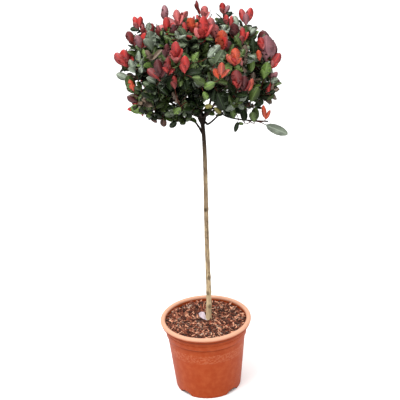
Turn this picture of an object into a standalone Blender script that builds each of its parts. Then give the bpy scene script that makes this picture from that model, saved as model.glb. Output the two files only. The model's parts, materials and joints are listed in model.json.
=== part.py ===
"""A dwarf evergreen shrub with red young leaves, grown as a half standard in a round container pot.

Metres, +Z up. The origin is the middle of the pot's flat underside, and -Y is the front.
Each limb is one object and the foliage that it carries is another, grown by one seeded rule.
"""

import math
import random
from bisect import bisect_right
from dataclasses import dataclass

import bmesh
import bpy
import numpy as np
from mathutils import Vector, geometry, noise
from mathutils.bvhtree import BVHTree

# Clearance between neighbouring solids.
GAP = 0.0003
UP = Vector((0, 0, 1))
GOLDEN_ANGLE = math.radians(137.5)

# The way that the first side of a round piece faces.
FIRST_SIDE = Vector((0.31, 0.87, 0.39))

# A piece starts this far from its seat and closes in on it.
SEAT_START = 0.04
SEAT_ROUNDS = 60

# The pot.
POT_HEIGHT = 0.200
RIM_RADIUS = 0.120
RIM_WIDTH = 0.0125
RIM_HEIGHT = 0.0135
RIM_ROUND = 0.0035
WALL = 0.0022
WALL_RADIUS = 0.1035
COLLAR_RADIUS = 0.1068
COLLAR_BOTTOM = 0.156
COLLAR_SLOPE = 0.002
BASE_RADIUS = 0.0872
BASE_ROUND = 0.004
PAD_RADIUS = 0.050
FOOT_HEIGHT = 0.013
FOOT_DRAFT = 0.004
NOTCH_COUNT = 4
NOTCH_WIDTH = 0.038
NOTCH_HEIGHT = 0.0115
NOTCH_SEGMENTS = 6
DRAIN_COUNT = 4
DRAIN_RADIUS = 0.005
DRAIN_RING = 0.067
DRAIN_SIDES = 8
CUTTER_REACH = 0.004
POT_SIDES = 32
SHARP_ANGLE = math.radians(35)

# The compost that fills it, level round the trunk and uneven beyond.
COMPOST_LEVEL = 0.187
COMPOST_RELIEF = 0.0035
COMPOST_LUMPS = 38
COMPOST_RINGS = 5
COMPOST_SIDES = 16
LEVEL_RADIUS = 0.016

# The pale chip of wood that lies against the foot of the trunk.
CHIP_SIZE = (0.015, 0.020, 0.0016)
CHIP_PLACE = (-0.006, -0.012)
CHIP_TILT = math.radians(20)
CHIP_TURN = math.radians(25)
CHIP_OUTLINE = ((-0.5, -0.35), (-0.2, -0.5), (0.45, -0.4), (0.5, 0.3), (0.1, 0.5), (-0.42, 0.38))

# The trunk, from its flat cut on the compost to the knot that carries the limbs.
FOOT = Vector((0.008, 0.006, COMPOST_LEVEL + GAP))
KNOT = Vector((0.0145, 0.0, 0.750))
TRUNK_COURSE = (
    FOOT,
    Vector((0.0109, 0.005, 0.248)),
    Vector((0.0128, 0.003, 0.437)),
    Vector((0.0170, 0.001, 0.628)),
    Vector((0.0168, 0.0, 0.700)),
    KNOT,
)
TRUNK_RADIUS = 0.0067
TRUNK_TOP_RADIUS = 0.0048
FLARE = 0.0028
FLARE_HEIGHT = 0.012
SCAR_SHARES = (0.075, 0.145, 0.225, 0.57)
SCAR_SWELLING = 0.0009
SCAR_LENGTH = 0.006
KNOT_SWELLING = 0.0056
KNOT_LENGTH = 0.011
KNOT_TOP = 0.013
TRUNK_SIDES = 10
TRUNK_STATIONS = 7
FLARE_STEPS = (0.5, 1, 2)
SCAR_STEPS = (-1.6, 0, 1.6)
KNOT_STEPS = (0.6, 1.2, 1.9)
DOME_SHARES = (0.45, 0.8, 0.97)

# The limbs. A limb and the stem of its foliage share one curve, and the limb is its first stretch.
LIMB_RADIUS = 0.0024
SIDE_LIMB_RADIUS = 0.0018
LIMB_TAPER = 0.72
LIMB_SIDES = 5
LIMB_STATIONS = 5
LIMB_SHARE = 0.42
LEAVING_RISE = 0.6
SIDE_LEAN = 0.75
UPTURN = 0.55
CURVE_STEPS = 24
HANDLE = 0.36

# The twigs.
STEM_STATIONS = 5
ROOM_STATIONS = 7
TWIG_STATIONS = 3
TWIG_SIDES = 3
TWIG_LENGTH = 0.101
TWIG_SHORTER = 0.41
TWIG_ANGLE = math.radians(48)
TWIG_UPTURN = 0.45
TWIG_RADIUS = 0.0014
TWIG_TIP = 0.0010
TWIG_CLEAR = 0.006
TWIG_SHARES = (0.08, 0.34, 0.60)
TWIG_LENGTHS = (1.0, 0.75, 0.52)
TWIG_TRIES = 8

# The leaves.
LEAF_LENGTH = 0.062
YOUNG_LENGTH = 0.052
LEAF_WIDTH = 0.50
LEAF_THICKNESS = 0.022
LEAF_SAG = 0.10
LEAF_SUNK = 0.0006
LEAF_SPACING = 0.023
LEAF_SPREAD = math.radians(58)
LENGTH_RANGE = (0.85, 1.12)
SPREAD_RANGE = (0.85, 1.2)
SPACING_RANGE = (0.85, 1.15)
TWIG_RANGE = (0.88, 1.1)
LEAF_LIFT = 0.1
LIGHT_TURN = 0.5
YOUNG_SPREAD = math.radians(14)
YOUNG_SPREAD_RANGE = (0.85, 1.15)
YOUNG_COUNT = 4
SIDE_YOUNG_COUNT = 3
YOUNG_SPACING = 0.0065
TIP_BARE = 0.002
BARE_SHARE = 0.22
LEAF_TRIES = 7
LEAF_SWING = 0.5
LEAF_SHRINK = 0.04
BLADE_START = 0.2
STEEP = 0.95

# Two places along a leaf, each with the share of its half width there.
LEAF_WAIST = (0.40, 0.94)
LEAF_SHOULDER = (0.76, 0.86)

# The room of each mass: how far leaves may pass their limb's reach, and how clear they keep of other masses.
TIP_BACK = 0.028
TIP_ROOM = 0.030
REACH_ALLOWANCE = 0.020
ROOM_MARGIN = 0.0007
LIMB_CLEARANCE = 0.0006

# The crown's outline, a squarish round body. Its lower leaves keep above a bowl, from the floor of their
# limb near the trunk up to the edge.
CROWN_CENTRE = np.array((0.013, 0.0, 0.885))
CROWN_SIZE = np.array((0.200, 0.195, 0.152))
CROWN_DEPTH = 0.185
CROWN_POWER = 3
CROWN_FLOOR = 0.752
CROWN_EDGE = 0.806


@dataclass
class Limb:
    """A limb, by the bearing and rise of its furthest leaves from the knot in degrees, and their distance.

    Bearing 0 is the right-hand side, 90 the back and 270 the front. A side limb forks from its parent
    at a share of the parent's length, and a main limb leaves the trunk at a distance below the middle
    of the knot. Via holds places that a limb passes. Leaves keep above the floor, and inside the
    crown's outline and its bowl unless the limb is a stray.
    """

    name: str
    bearing: float
    rise: float
    reach: float
    seed: int
    parent: str = ""
    fork: float = 0.0
    below: float = 0.0
    via: tuple = ()
    floor: float = CROWN_FLOOR
    stray: bool = False
    twigs: tuple = TWIG_SHARES
    spacing: float = LEAF_SPACING


LIMBS = (
    Limb("left", 183, 43, 0.254, 1),
    Limb(
        "left_low",
        203,
        31,
        0.208,
        2,
        below=0.045,
        via=((0.0056, -0.001, 0.728), (-0.006, -0.003, 0.7435), (-0.040, -0.012, 0.756)),
        floor=0.745,
    ),
    Limb("left_front", 233, 50, 0.240, 3, floor=0.78),
    Limb("front", 262, 51, 0.258, 4, floor=0.80),
    Limb("front_right", 295, 50, 0.255, 5, floor=0.80),
    Limb(
        "right_low",
        338,
        28,
        0.200,
        6,
        below=0.006,
        via=((0.0285, -0.003, 0.7345), (0.061, -0.018, 0.765)),
    ),
    Limb("right", 2, 46, 0.262, 7),
    Limb("back_right", 42, 44, 0.250, 8),
    Limb("back", 88, 44, 0.250, 9),
    Limb("back_left", 136, 44, 0.250, 10),
    Limb("top", 330, 87, 0.280, 11),
    Limb("left_high", 163, 61, 0.284, 12, "left", 0.85),
    Limb("top_left", 165, 73, 0.280, 13, "left", 0.55),
    Limb("top_front", 262, 69, 0.272, 14, "front", 0.6),
    Limb("top_right", 32, 70, 0.282, 15, "back_right", 0.6),
    Limb("right_high", 10, 62, 0.284, 16, "right", 0.8),
    Limb("back_high", 98, 66, 0.270, 17, "back", 0.85),
    Limb("front_low_right", 306, 32, 0.208, 18, "front_right", 0.6, floor=0.775),
    Limb("front_low", 258, 31, 0.190, 19, "front", 0.85, floor=0.795),
    Limb("left_bottom", 182, 18, 0.180, 20, "left_low", 0.85, floor=0.740),
    Limb("back_low_left", 150, 23, 0.192, 21, "back_left", 0.6),
    Limb("back_low", 100, 23, 0.192, 22, "back", 0.55, floor=0.77),
    Limb("back_low_right", 48, 22, 0.192, 23, "back_right", 0.85),
    Limb(
        "right_stray",
        330,
        4,
        0.205,
        24,
        "right_low",
        0.75,
        via=((0.092, -0.080, 0.770),),
        floor=0.712,
        stray=True,
        twigs=(0.45,),
        spacing=LEAF_SPACING * 1.7,
    ),
)


class Curve:
    """A smooth line held as closely spaced points, read by the distance along it."""

    def __init__(self, points):
        self.points = points
        self.marks = [0.0]
        for a, b in zip(points, points[1:]):
            self.marks.append(self.marks[-1] + (b - a).length)
        self.length = self.marks[-1]

    def at(self, distance):
        last = len(self.points) - 2
        index = min(max(bisect_right(self.marks, distance) - 1, 0), last)
        step = self.marks[index + 1] - self.marks[index]
        return self.points[index].lerp(self.points[index + 1], (distance - self.marks[index]) / step)

    def direction(self, distance):
        reach = self.length / CURVE_STEPS
        low = max(distance - reach, 0.0)
        high = min(distance + reach, self.length)
        return (self.at(high) - self.at(low)).normalized()

    def stations(self, start, end, count):
        """Places and directions at even distances."""
        distances = [start + (end - start) * i / (count - 1) for i in range(count)]
        return [(self.at(d), self.direction(d)) for d in distances]


def curve_through(points, leave=None, arrive=None):
    """A smooth curve through a few points, along the given directions at its ends."""
    last = len(points) - 1
    ways = [(points[min(i + 1, last)] - points[max(i - 1, 0)]).normalized() for i in range(last + 1)]
    if leave is not None:
        ways[0] = leave.normalized()
    if arrive is not None:
        ways[last] = arrive.normalized()
    line = []
    for a, b, way_a, way_b in zip(points, points[1:], ways, ways[1:]):
        handle = (b - a).length * HANDLE
        line += geometry.interpolate_bezier(a, a + way_a * handle, b - way_b * handle, b, CURVE_STEPS)[:-1]
    return Curve(line + [points[last]])


def toward(bearing, rise):
    """The direction at a bearing and a rise in degrees."""
    flat = math.cos(math.radians(rise))
    turn = math.radians(bearing)
    return Vector((flat * math.cos(turn), flat * math.sin(turn), math.sin(math.radians(rise))))


def square_to(direction, hint):
    """The unit vector nearest the hint that is square to a direction."""
    return (hint - direction * hint.dot(direction)).normalized()


def material(name, colour, roughness):
    made = bpy.data.materials.new(name)
    made.use_nodes = True
    shader = made.node_tree.nodes["Principled BSDF"]
    shader.inputs["Base Color"].default_value = (*colour, 1)
    shader.inputs["Roughness"].default_value = roughness
    made.diffuse_color = (*colour, 1)
    return made


def add_object(name, corners, faces, finish, collection=None):
    mesh = bpy.data.meshes.new(name)
    mesh.from_pydata(corners, [], faces)
    made = bpy.data.objects.new(name, mesh)
    made.data.materials.append(finish)
    (collection or bpy.context.scene.collection).objects.link(made)
    return made


def skin(rings):
    """A closed shape over rings of equal count, each ring running anticlockwise about the way ahead."""
    count = len(rings[0])
    corners = [corner for ring in rings for corner in ring]
    faces = []
    for i in range(len(rings) - 1):
        for k in range(count):
            a = i * count + k
            b = i * count + (k + 1) % count
            faces.append((a, b, b + count))
            faces.append((a, b + count, a + count))
    first = (len(rings) - 1) * count
    faces.append(tuple(reversed(range(count))))
    faces.append(tuple(range(first, first + count)))
    return corners, faces


def tube(stations, radii, sides):
    """A closed tube with flat ends round a line of places and directions."""
    across = square_to(stations[0][1], FIRST_SIDE)
    rings = []
    for (place, ahead), radius in zip(stations, radii):
        across = square_to(ahead, across)
        beside = ahead.cross(across)
        ring = []
        for k in range(sides):
            angle = 2 * math.pi * k / sides
            ring.append(place + (across * math.cos(angle) + beside * math.sin(angle)) * radius)
        rings.append(ring)
    return skin(rings)


def turned(name, profile, sides, finish):
    """A solid of revolution. The profile runs from the axis round the outside and back to the axis."""
    shape = bmesh.new()
    points = [shape.verts.new((radius, 0, height)) for radius, height in profile]
    edges = [shape.edges.new(pair) for pair in zip(points, points[1:])]
    bmesh.ops.spin(shape, geom=points + edges, axis=UP, cent=(0, 0, 0), steps=sides, angle=2 * math.pi)
    bmesh.ops.remove_doubles(shape, verts=shape.verts, dist=GAP / 10)
    bmesh.ops.recalc_face_normals(shape, faces=shape.faces)
    bmesh.ops.triangulate(shape, faces=shape.faces)
    made = add_object(name, [], [], finish)
    shape.to_mesh(made.data)
    shape.free()
    return made


def boolean(target, others, operation):
    """Joins or cuts with everything in a collection, and then removes what was in it."""
    modifier = target.modifiers.new("Boolean", "BOOLEAN")
    modifier.operation = operation
    modifier.operand_type = "COLLECTION"
    modifier.collection = others
    modifier.solver = "EXACT"
    bpy.context.view_layer.update()
    evaluated = target.evaluated_get(bpy.context.evaluated_depsgraph_get())
    mesh = bpy.data.meshes.new_from_object(evaluated)
    target.modifiers.remove(modifier)
    target.data = mesh
    for other in list(others.objects):
        bpy.data.objects.remove(other)
    bpy.data.collections.remove(others)


def keep_main_body(target):
    """Drops loose scraps and the inner walls of sealed hollows, which leaves one full solid."""
    shape = bmesh.new()
    shape.from_mesh(target.data)
    left = set(shape.verts)
    bodies = []
    while left:
        seen = {left.pop()}
        front = list(seen)
        while front:
            vertex = front.pop()
            for edge in vertex.link_edges:
                other = edge.other_vert(vertex)
                if other in left:
                    left.discard(other)
                    seen.add(other)
                    front.append(other)
        bodies.append(seen)
    bodies.sort(key=len)
    for body in bodies[:-1]:
        bmesh.ops.delete(shape, geom=list(body), context="VERTS")
    shape.to_mesh(target.data)
    shape.free()


def outer_radius(height):
    """The outside of the pot's tapering wall, below its collar."""
    return BASE_RADIUS + (WALL_RADIUS - BASE_RADIUS) * height / COLLAR_BOTTOM


def inside_profile(clear):
    """The pot's inner surface from the axis to the rim, drawn in by a clearance."""
    edge = RIM_RADIUS - RIM_WIDTH
    plate = FOOT_HEIGHT + WALL
    return [
        (0, WALL + clear),
        (PAD_RADIUS - WALL - clear, WALL + clear),
        (PAD_RADIUS + FOOT_DRAFT - WALL - clear, plate + clear),
        (outer_radius(plate) - WALL - clear, plate + clear),
        (WALL_RADIUS - WALL - clear, COLLAR_BOTTOM),
        (COLLAR_RADIUS - WALL - clear, COLLAR_BOTTOM + COLLAR_SLOPE * 2),
        (edge - clear, POT_HEIGHT - RIM_ROUND / 2),
    ]


def pot_profile():
    """The pot's section, from the middle of its underside round its outside and down its inside."""
    skirt = BASE_RADIUS - BASE_ROUND / 3
    rim_bottom = POT_HEIGHT - RIM_HEIGHT
    edge = RIM_RADIUS - RIM_WIDTH
    outside = [
        (0, 0),
        (PAD_RADIUS, 0),
        (PAD_RADIUS + FOOT_DRAFT, FOOT_HEIGHT),
        (outer_radius(FOOT_HEIGHT) - WALL, FOOT_HEIGHT),
        (skirt - WALL, 0),
        (skirt, 0),
        (outer_radius(BASE_ROUND), BASE_ROUND),
        (outer_radius(COLLAR_BOTTOM - COLLAR_SLOPE), COLLAR_BOTTOM - COLLAR_SLOPE),
        (COLLAR_RADIUS, COLLAR_BOTTOM),
        (edge + WALL, rim_bottom),
        (RIM_RADIUS, rim_bottom),
    ]
    for i in range(3):
        angle = math.pi / 4 * i
        radius = RIM_RADIUS - RIM_ROUND * (1 - math.cos(angle))
        outside.append((radius, POT_HEIGHT - RIM_ROUND * (1 - math.sin(angle))))
    outside.append((edge + RIM_ROUND / 2, POT_HEIGHT))
    return outside + inside_profile(0)[::-1]


def arch(width, height, segments):
    """The outline of a round-headed notch that goes on below the ground."""
    outline = [(-width / 2, -height), (width / 2, -height)]
    for i in range(segments + 1):
        angle = math.pi * i / segments
        outline.append((width / 2 * math.cos(angle), height * math.sin(angle)))
    return outline


def build_pot(finish):
    """The pot, with arched notches in its foot and drain holes in the raised ring of its base."""
    pot = turned("pot", pot_profile(), POT_SIDES, finish)
    cutters = bpy.data.collections.new("pot_cutters")
    bpy.context.scene.collection.children.link(cutters)
    for k in range(NOTCH_COUNT):
        angle = 2 * math.pi * (k + 0.5) / NOTCH_COUNT
        out = Vector((math.cos(angle), math.sin(angle), 0))
        side = Vector((-out.y, out.x, 0))
        outline = arch(NOTCH_WIDTH, NOTCH_HEIGHT, NOTCH_SEGMENTS)
        rings = []
        for radius in (BASE_RADIUS - CUTTER_REACH * 2, BASE_RADIUS + CUTTER_REACH):
            rings.append([out * radius + side * x + UP * z for x, z in outline])
        corners, faces = skin(rings)
        add_object(f"notch_{k}", corners, faces, finish, cutters)
    for k in range(DRAIN_COUNT):
        angle = 2 * math.pi * (k + 0.5) / DRAIN_COUNT
        middle = Vector((math.cos(angle), math.sin(angle), 0)) * DRAIN_RING
        low = middle + UP * (FOOT_HEIGHT - CUTTER_REACH)
        high = middle + UP * (FOOT_HEIGHT + WALL + CUTTER_REACH)
        corners, faces = tube([(low, UP), (high, UP)], (DRAIN_RADIUS, DRAIN_RADIUS), DRAIN_SIDES)
        add_object(f"drain_{k}", corners, faces, finish, cutters)
    boolean(pot, cutters, "DIFFERENCE")
    pot.data.shade_smooth()
    pot.data.set_sharp_from_angle(angle=SHARP_ANGLE)


def compost_height(x, y):
    """The surface of the compost, level where the trunk stands."""
    away = math.hypot(x - FOOT.x, y - FOOT.y)
    share = min(max((away - LEVEL_RADIUS) / LEVEL_RADIUS, 0), 1)
    return COMPOST_LEVEL + COMPOST_RELIEF * share * noise.noise(Vector((x, y, 0)) * COMPOST_LUMPS)


def build_compost(finish):
    """A plug that fills the pot, up to an uneven top."""
    *side, (low_radius, low), (high_radius, high) = inside_profile(GAP)
    share = (COMPOST_LEVEL - COMPOST_RELIEF - low) / (high - low)
    top_radius = low_radius + (high_radius - low_radius) * share
    top = [(top_radius * (1 - i / COMPOST_RINGS), COMPOST_LEVEL) for i in range(COMPOST_RINGS + 1)]
    compost = turned("compost", [*side, (low_radius, low), *top], COMPOST_SIDES, finish)
    for vertex in compost.data.vertices:
        if vertex.co.z > COMPOST_LEVEL - GAP:
            vertex.co.z = compost_height(vertex.co.x, vertex.co.y)
    return BVHTree.FromObject(compost, bpy.context.evaluated_depsgraph_get())


def build_chip(finish, compost):
    """A thin chip that leans a little, with its lowest corner on the compost."""
    length, width, thick = CHIP_SIZE
    turn = Vector((math.cos(CHIP_TURN), math.sin(CHIP_TURN), 0))
    lean = Vector((-turn.y * math.cos(CHIP_TILT), turn.x * math.cos(CHIP_TILT), math.sin(CHIP_TILT)))
    normal = turn.cross(lean)
    place = Vector((*CHIP_PLACE, POT_HEIGHT))
    rings = []
    for layer in (0, thick):
        rings.append([place + turn * x * length + lean * y * width + normal * layer for x, y in CHIP_OUTLINE])
    corners, faces = skin(rings)
    fall = min(compost.ray_cast(corner, -UP)[3] for corner in corners) - GAP
    add_object("pale_chip", [corner - UP * fall for corner in corners], faces, finish)


def trunk_radius(curve, distance):
    """The trunk's radius: a taper, a flare at the foot, old scars, and the knot at the head."""
    share = distance / curve.length
    radius = TRUNK_RADIUS + (TRUNK_TOP_RADIUS - TRUNK_RADIUS) * share
    radius += FLARE * math.exp(-distance / FLARE_HEIGHT)
    for scar in SCAR_SHARES:
        radius += SCAR_SWELLING * math.exp(-(((share - scar) * curve.length / SCAR_LENGTH) ** 2))
    radius += KNOT_SWELLING * math.exp(-(((curve.length - distance) / KNOT_LENGTH) ** 2))
    return radius


def build_trunk(finish):
    """The trunk as one tube. Its last rings draw in over the knot."""
    curve = curve_through(TRUNK_COURSE, leave=UP)
    places = [curve.length * i / TRUNK_STATIONS for i in range(TRUNK_STATIONS + 1)]
    places += [FLARE_HEIGHT * step for step in FLARE_STEPS]
    places += [curve.length - KNOT_LENGTH * step for step in KNOT_STEPS]
    for scar in SCAR_SHARES:
        places += [scar * curve.length + step * SCAR_LENGTH for step in SCAR_STEPS]
    stations = []
    radii = []
    for distance in sorted(places):
        stations.append((curve.at(distance), curve.direction(distance)))
        radii.append(trunk_radius(curve, distance))
    stations[0] = (FOOT, UP)
    head = curve.direction(curve.length)
    for share in DOME_SHARES:
        stations.append((KNOT + head * KNOT_TOP * share, head))
        radii.append(trunk_radius(curve, curve.length) * math.sqrt(1 - share * share))
    trunk = add_object("trunk", *tube(stations, radii, TRUNK_SIDES), finish)
    trunk.data.shade_smooth()
    wide = [radius + LIMB_CLEARANCE for radius in radii]
    return curve, tube(stations, radii, TRUNK_SIDES), tube(stations, wide, TRUNK_SIDES)


def seat(start, way, radius, carrier):
    """The distance along a way at which a flat round end lies GAP off what carries it."""
    across = square_to(way, FIRST_SIDE)
    beside = way.cross(across)
    rim = [Vector((0, 0, 0))]
    for k in range(LIMB_SIDES * 2):
        angle = math.pi * k / LIMB_SIDES
        rim.append((across * math.cos(angle) + beside * math.sin(angle)) * radius)
    distance = SEAT_START
    for _ in range(SEAT_ROUNDS):
        near = min(carrier.find_nearest(start + way * distance + place)[3] for place in rim)
        distance -= near - GAP
        if near - GAP < GAP / 100:
            break
    return distance


def limb_curve(limb, curves, carriers, trunk_curve):
    """The curve of a limb and of the stem beyond it, from its seat on what carries it."""
    tip = KNOT + toward(limb.bearing, limb.rise) * (limb.reach - TIP_BACK)
    arrive = (toward(limb.bearing, limb.rise) + UP * UPTURN).normalized()
    via = [Vector(place) for place in limb.via]
    aim = via[0] if via else tip
    if limb.parent:
        parent = curves[limb.parent]
        place = parent.length * LIMB_SHARE * limb.fork
        root = parent.at(place)
        axis = parent.direction(place)
        leave = (square_to(axis, aim - root) + axis * SIDE_LEAN).normalized()
        radius = SIDE_LIMB_RADIUS
    else:
        root = trunk_curve.at(trunk_curve.length - limb.below)
        leave = (aim - root).normalized() if via else toward(limb.bearing, limb.rise * LEAVING_RISE)
        radius = LIMB_RADIUS
    if limb.stray:
        arrive = toward(limb.bearing, limb.rise)
    distance = seat(root, leave, radius, carriers[limb.parent])
    return curve_through([root + leave * distance, *via, tip], leave, arrive), radius


def tapered(first, last, count):
    """Radii that change evenly from the first to the last."""
    return [first + (last - first) * i / (count - 1) for i in range(count)]


class Room:
    """The space of one mass: what is nearer to its own stem than to any other, and within its reach."""

    def __init__(self, limb, stems):
        self.limb = limb
        names = list(stems)
        self.owner = np.concatenate([[name == limb.name] * (len(stems[name]) - 1) for name in names])
        self.start = np.concatenate([stems[name][:-1] for name in names])
        self.step = np.concatenate([np.diff(stems[name], axis=0) for name in names])
        self.square = (self.step**2).sum(axis=1)

    def holds(self, points, extra=0.0):
        spots = np.array(points)
        share = np.hypot(spots[:, 0] - KNOT.x, spots[:, 1] - KNOT.y) / CROWN_SIZE[0]
        bowl = 0 if self.limb.stray else (CROWN_EDGE - self.limb.floor) * share**2
        if (spots[:, 2] - bowl).min() < self.limb.floor + extra:
            return False
        away = np.linalg.norm(spots - np.array(KNOT), axis=1).max()
        if away > self.limb.reach + REACH_ALLOWANCE:
            return False
        outward = np.abs((spots - CROWN_CENTRE) / CROWN_SIZE)
        below = spots[:, 2] < CROWN_CENTRE[2]
        outward[below, 2] *= CROWN_SIZE[2] / CROWN_DEPTH
        if not self.limb.stray and (outward**CROWN_POWER).sum(axis=1).max() > 1:
            return False
        offset = spots[:, None, :] - self.start[None]
        share = np.clip((offset * self.step).sum(axis=2) / self.square, 0, 1)
        distance = np.linalg.norm(offset - share[:, :, None] * self.step, axis=2)
        own = distance[:, self.owner].min(axis=1)
        other = distance[:, ~self.owner].min(axis=1)
        return bool((other - own).min() > 2 * (ROOM_MARGIN + extra))


class Obstacles:
    """What a new twig or leaf must not touch, each with the box round it."""

    def __init__(self):
        self.shapes = []

    def add(self, corners, faces):
        spots = np.array(corners)
        self.shapes.append((spots.min(axis=0), spots.max(axis=0), BVHTree.FromPolygons(corners, faces)))

    def touch(self, corners, faces):
        spots = np.array(corners)
        low, high = spots.min(axis=0), spots.max(axis=0)
        tree = None
        for other_low, other_high, other in self.shapes:
            if (low > other_high).any() or (high < other_low).any():
                continue
            tree = tree or BVHTree.FromPolygons(corners, faces)
            if tree.overlap(other):
                return True
        return False


def leaf_points(root, along, face, length, start=0.0):
    """Seven corners of a leaf: the root, four along the edges, the tip and a keel below."""
    waist, waist_width = LEAF_WAIST
    shoulder, shoulder_width = LEAF_SHOULDER
    right = along.cross(face).normalized()
    face = right.cross(along)

    def place(share, aside, lift):
        sag = LEAF_SAG * length * share * share
        return root + along * length * share + right * aside * LEAF_WIDTH * length / 2 + face * (lift - sag)

    return [
        place(start, 0, 0),
        place(waist, waist_width, 0),
        place(waist, -waist_width, 0),
        place(shoulder, shoulder_width, 0),
        place(shoulder, -shoulder_width, 0),
        place(1, 0, 0),
        place(waist, 0, -LEAF_THICKNESS * length),
    ]


LEAF_FACES = (
    (0, 1, 2),
    (2, 1, 3),
    (2, 3, 4),
    (4, 3, 5),
    (1, 0, 6),
    (3, 1, 6),
    (5, 3, 6),
    (4, 5, 6),
    (2, 4, 6),
    (0, 2, 6),
)


class Mass:
    """The foliage of one limb, grown twig by twig and leaf by leaf."""

    def __init__(self, limb, room, limbs):
        self.limb = limb
        self.room = room
        self.limbs = limbs
        self.random = random.Random(limb.seed)
        self.wood = Obstacles()
        self.leaves = Obstacles()
        self.shapes = []

    def free(self, corners, faces):
        return not any(kept.touch(corners, faces) for kept in (self.limbs, self.wood, self.leaves))

    def add_leaf(self, shoot, distance, turn, spread, length):
        """Places one leaf on a shoot, turning it a little at each try, or leaves it out."""
        root = shoot.at(distance)
        axis = shoot.direction(distance)
        across = square_to(axis, UP if abs(axis.z) < STEEP else Vector((1, 0, 0)))
        beside = axis.cross(across)
        for attempt in range(LEAF_TRIES):
            swing = turn + (attempt + 1) // 2 * LEAF_SWING * (-1) ** attempt
            out = across * math.cos(swing) + beside * math.sin(swing)
            along = (axis * math.cos(spread) + out * math.sin(spread) + UP * LEAF_LIFT).normalized()
            face = square_to(along, axis + UP * LIGHT_TURN)
            size = length * (1 - LEAF_SHRINK * attempt)
            blade = leaf_points(root, along, face, size, BLADE_START)
            if self.room.holds(blade) and self.free(blade, LEAF_FACES):
                self.leaves.add(blade, LEAF_FACES)
                self.shapes.append((leaf_points(root - along * LEAF_SUNK, along, face, size), LEAF_FACES))
                return

    def add_leaves(self, shoot, young):
        """A flush of upright young leaves at the tip of a shoot, and older leaves back along it."""
        turn = self.random.uniform(0, 2 * math.pi)
        distance = shoot.length - TIP_BARE
        for i in range(young):
            spread = YOUNG_SPREAD * (1 + i) * self.random.uniform(*YOUNG_SPREAD_RANGE)
            length = YOUNG_LENGTH * self.random.uniform(*LENGTH_RANGE)
            self.add_leaf(shoot, distance, turn, spread, length)
            turn += GOLDEN_ANGLE
            distance -= YOUNG_SPACING
        distance -= YOUNG_SPACING
        while distance > shoot.length * BARE_SHARE:
            spread = LEAF_SPREAD * self.random.uniform(*SPREAD_RANGE)
            length = LEAF_LENGTH * self.random.uniform(*LENGTH_RANGE)
            self.add_leaf(shoot, distance, turn, spread, length)
            turn += GOLDEN_ANGLE
            distance -= self.limb.spacing * self.random.uniform(*SPACING_RANGE)

    def add_twig(self, stem, share, turn):
        """A side twig that leaves the stem and turns up, at the first turn and length that has room."""
        root = stem.at(stem.length * share)
        axis = stem.direction(stem.length * share)
        across = square_to(axis, UP)
        beside = axis.cross(across)
        size = TWIG_LENGTH * (1 - TWIG_SHORTER * share) * self.random.uniform(*TWIG_RANGE)
        radii = tapered(TWIG_RADIUS, TWIG_TIP, TWIG_STATIONS)
        wide = [radius + LIMB_CLEARANCE for radius in radii]
        for shrink in TWIG_LENGTHS:
            for attempt in range(TWIG_TRIES):
                swing = turn + 2 * math.pi * attempt / TWIG_TRIES
                out = across * math.cos(swing) + beside * math.sin(swing)
                leave = axis * math.cos(TWIG_ANGLE) + out * math.sin(TWIG_ANGLE)
                arrive = (leave + UP * TWIG_UPTURN).normalized()
                end = root + (leave + arrive).normalized() * size * shrink
                twig = curve_through([root, end], leave, arrive)
                outer = twig.stations(TWIG_CLEAR, twig.length, TWIG_STATIONS)
                places = [place for place, _ in outer] + [end + arrive * TIP_ROOM]
                if not self.room.holds(places, TWIG_RADIUS):
                    continue
                test = tube(outer, wide, TWIG_SIDES)
                if self.limbs.touch(*test) or self.wood.touch(*test):
                    continue
                stations = twig.stations(0, twig.length, TWIG_STATIONS)
                self.wood.add(*tube(stations, wide, TWIG_SIDES))
                self.shapes.append(tube(stations, radii, TWIG_SIDES))
                return twig
        return None

    def grow(self, curve, radius, finish):
        """The stem goes on from the limb's tip, then come its twigs, and then the leaves of each shoot."""
        start = curve.length * LIMB_SHARE + GAP
        stations = curve.stations(start, curve.length, STEM_STATIONS)
        radii = tapered(radius * LIMB_TAPER, TWIG_TIP, STEM_STATIONS)
        mass = add_object(self.limb.name + "_leaves", *tube(stations, radii, TWIG_SIDES), finish)
        self.wood.add(*tube(stations, [radius + LIMB_CLEARANCE for radius in radii], TWIG_SIDES))
        stem = Curve([place for place, _ in curve.stations(start, curve.length, CURVE_STEPS)])
        turn = self.random.uniform(0, 2 * math.pi)
        twigs = []
        for share in self.limb.twigs:
            twig = self.add_twig(stem, share, turn)
            turn += GOLDEN_ANGLE
            if twig:
                twigs.append(twig)
        self.add_leaves(stem, YOUNG_COUNT)
        for twig in twigs:
            self.add_leaves(twig, SIDE_YOUNG_COUNT)
        parts = bpy.data.collections.new(self.limb.name + "_parts")
        bpy.context.scene.collection.children.link(parts)
        for index, (corners, faces) in enumerate(self.shapes):
            add_object(f"{self.limb.name}_part_{index}", corners, faces, finish, parts)
        boolean(mass, parts, "UNION")
        keep_main_body(mass)


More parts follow.
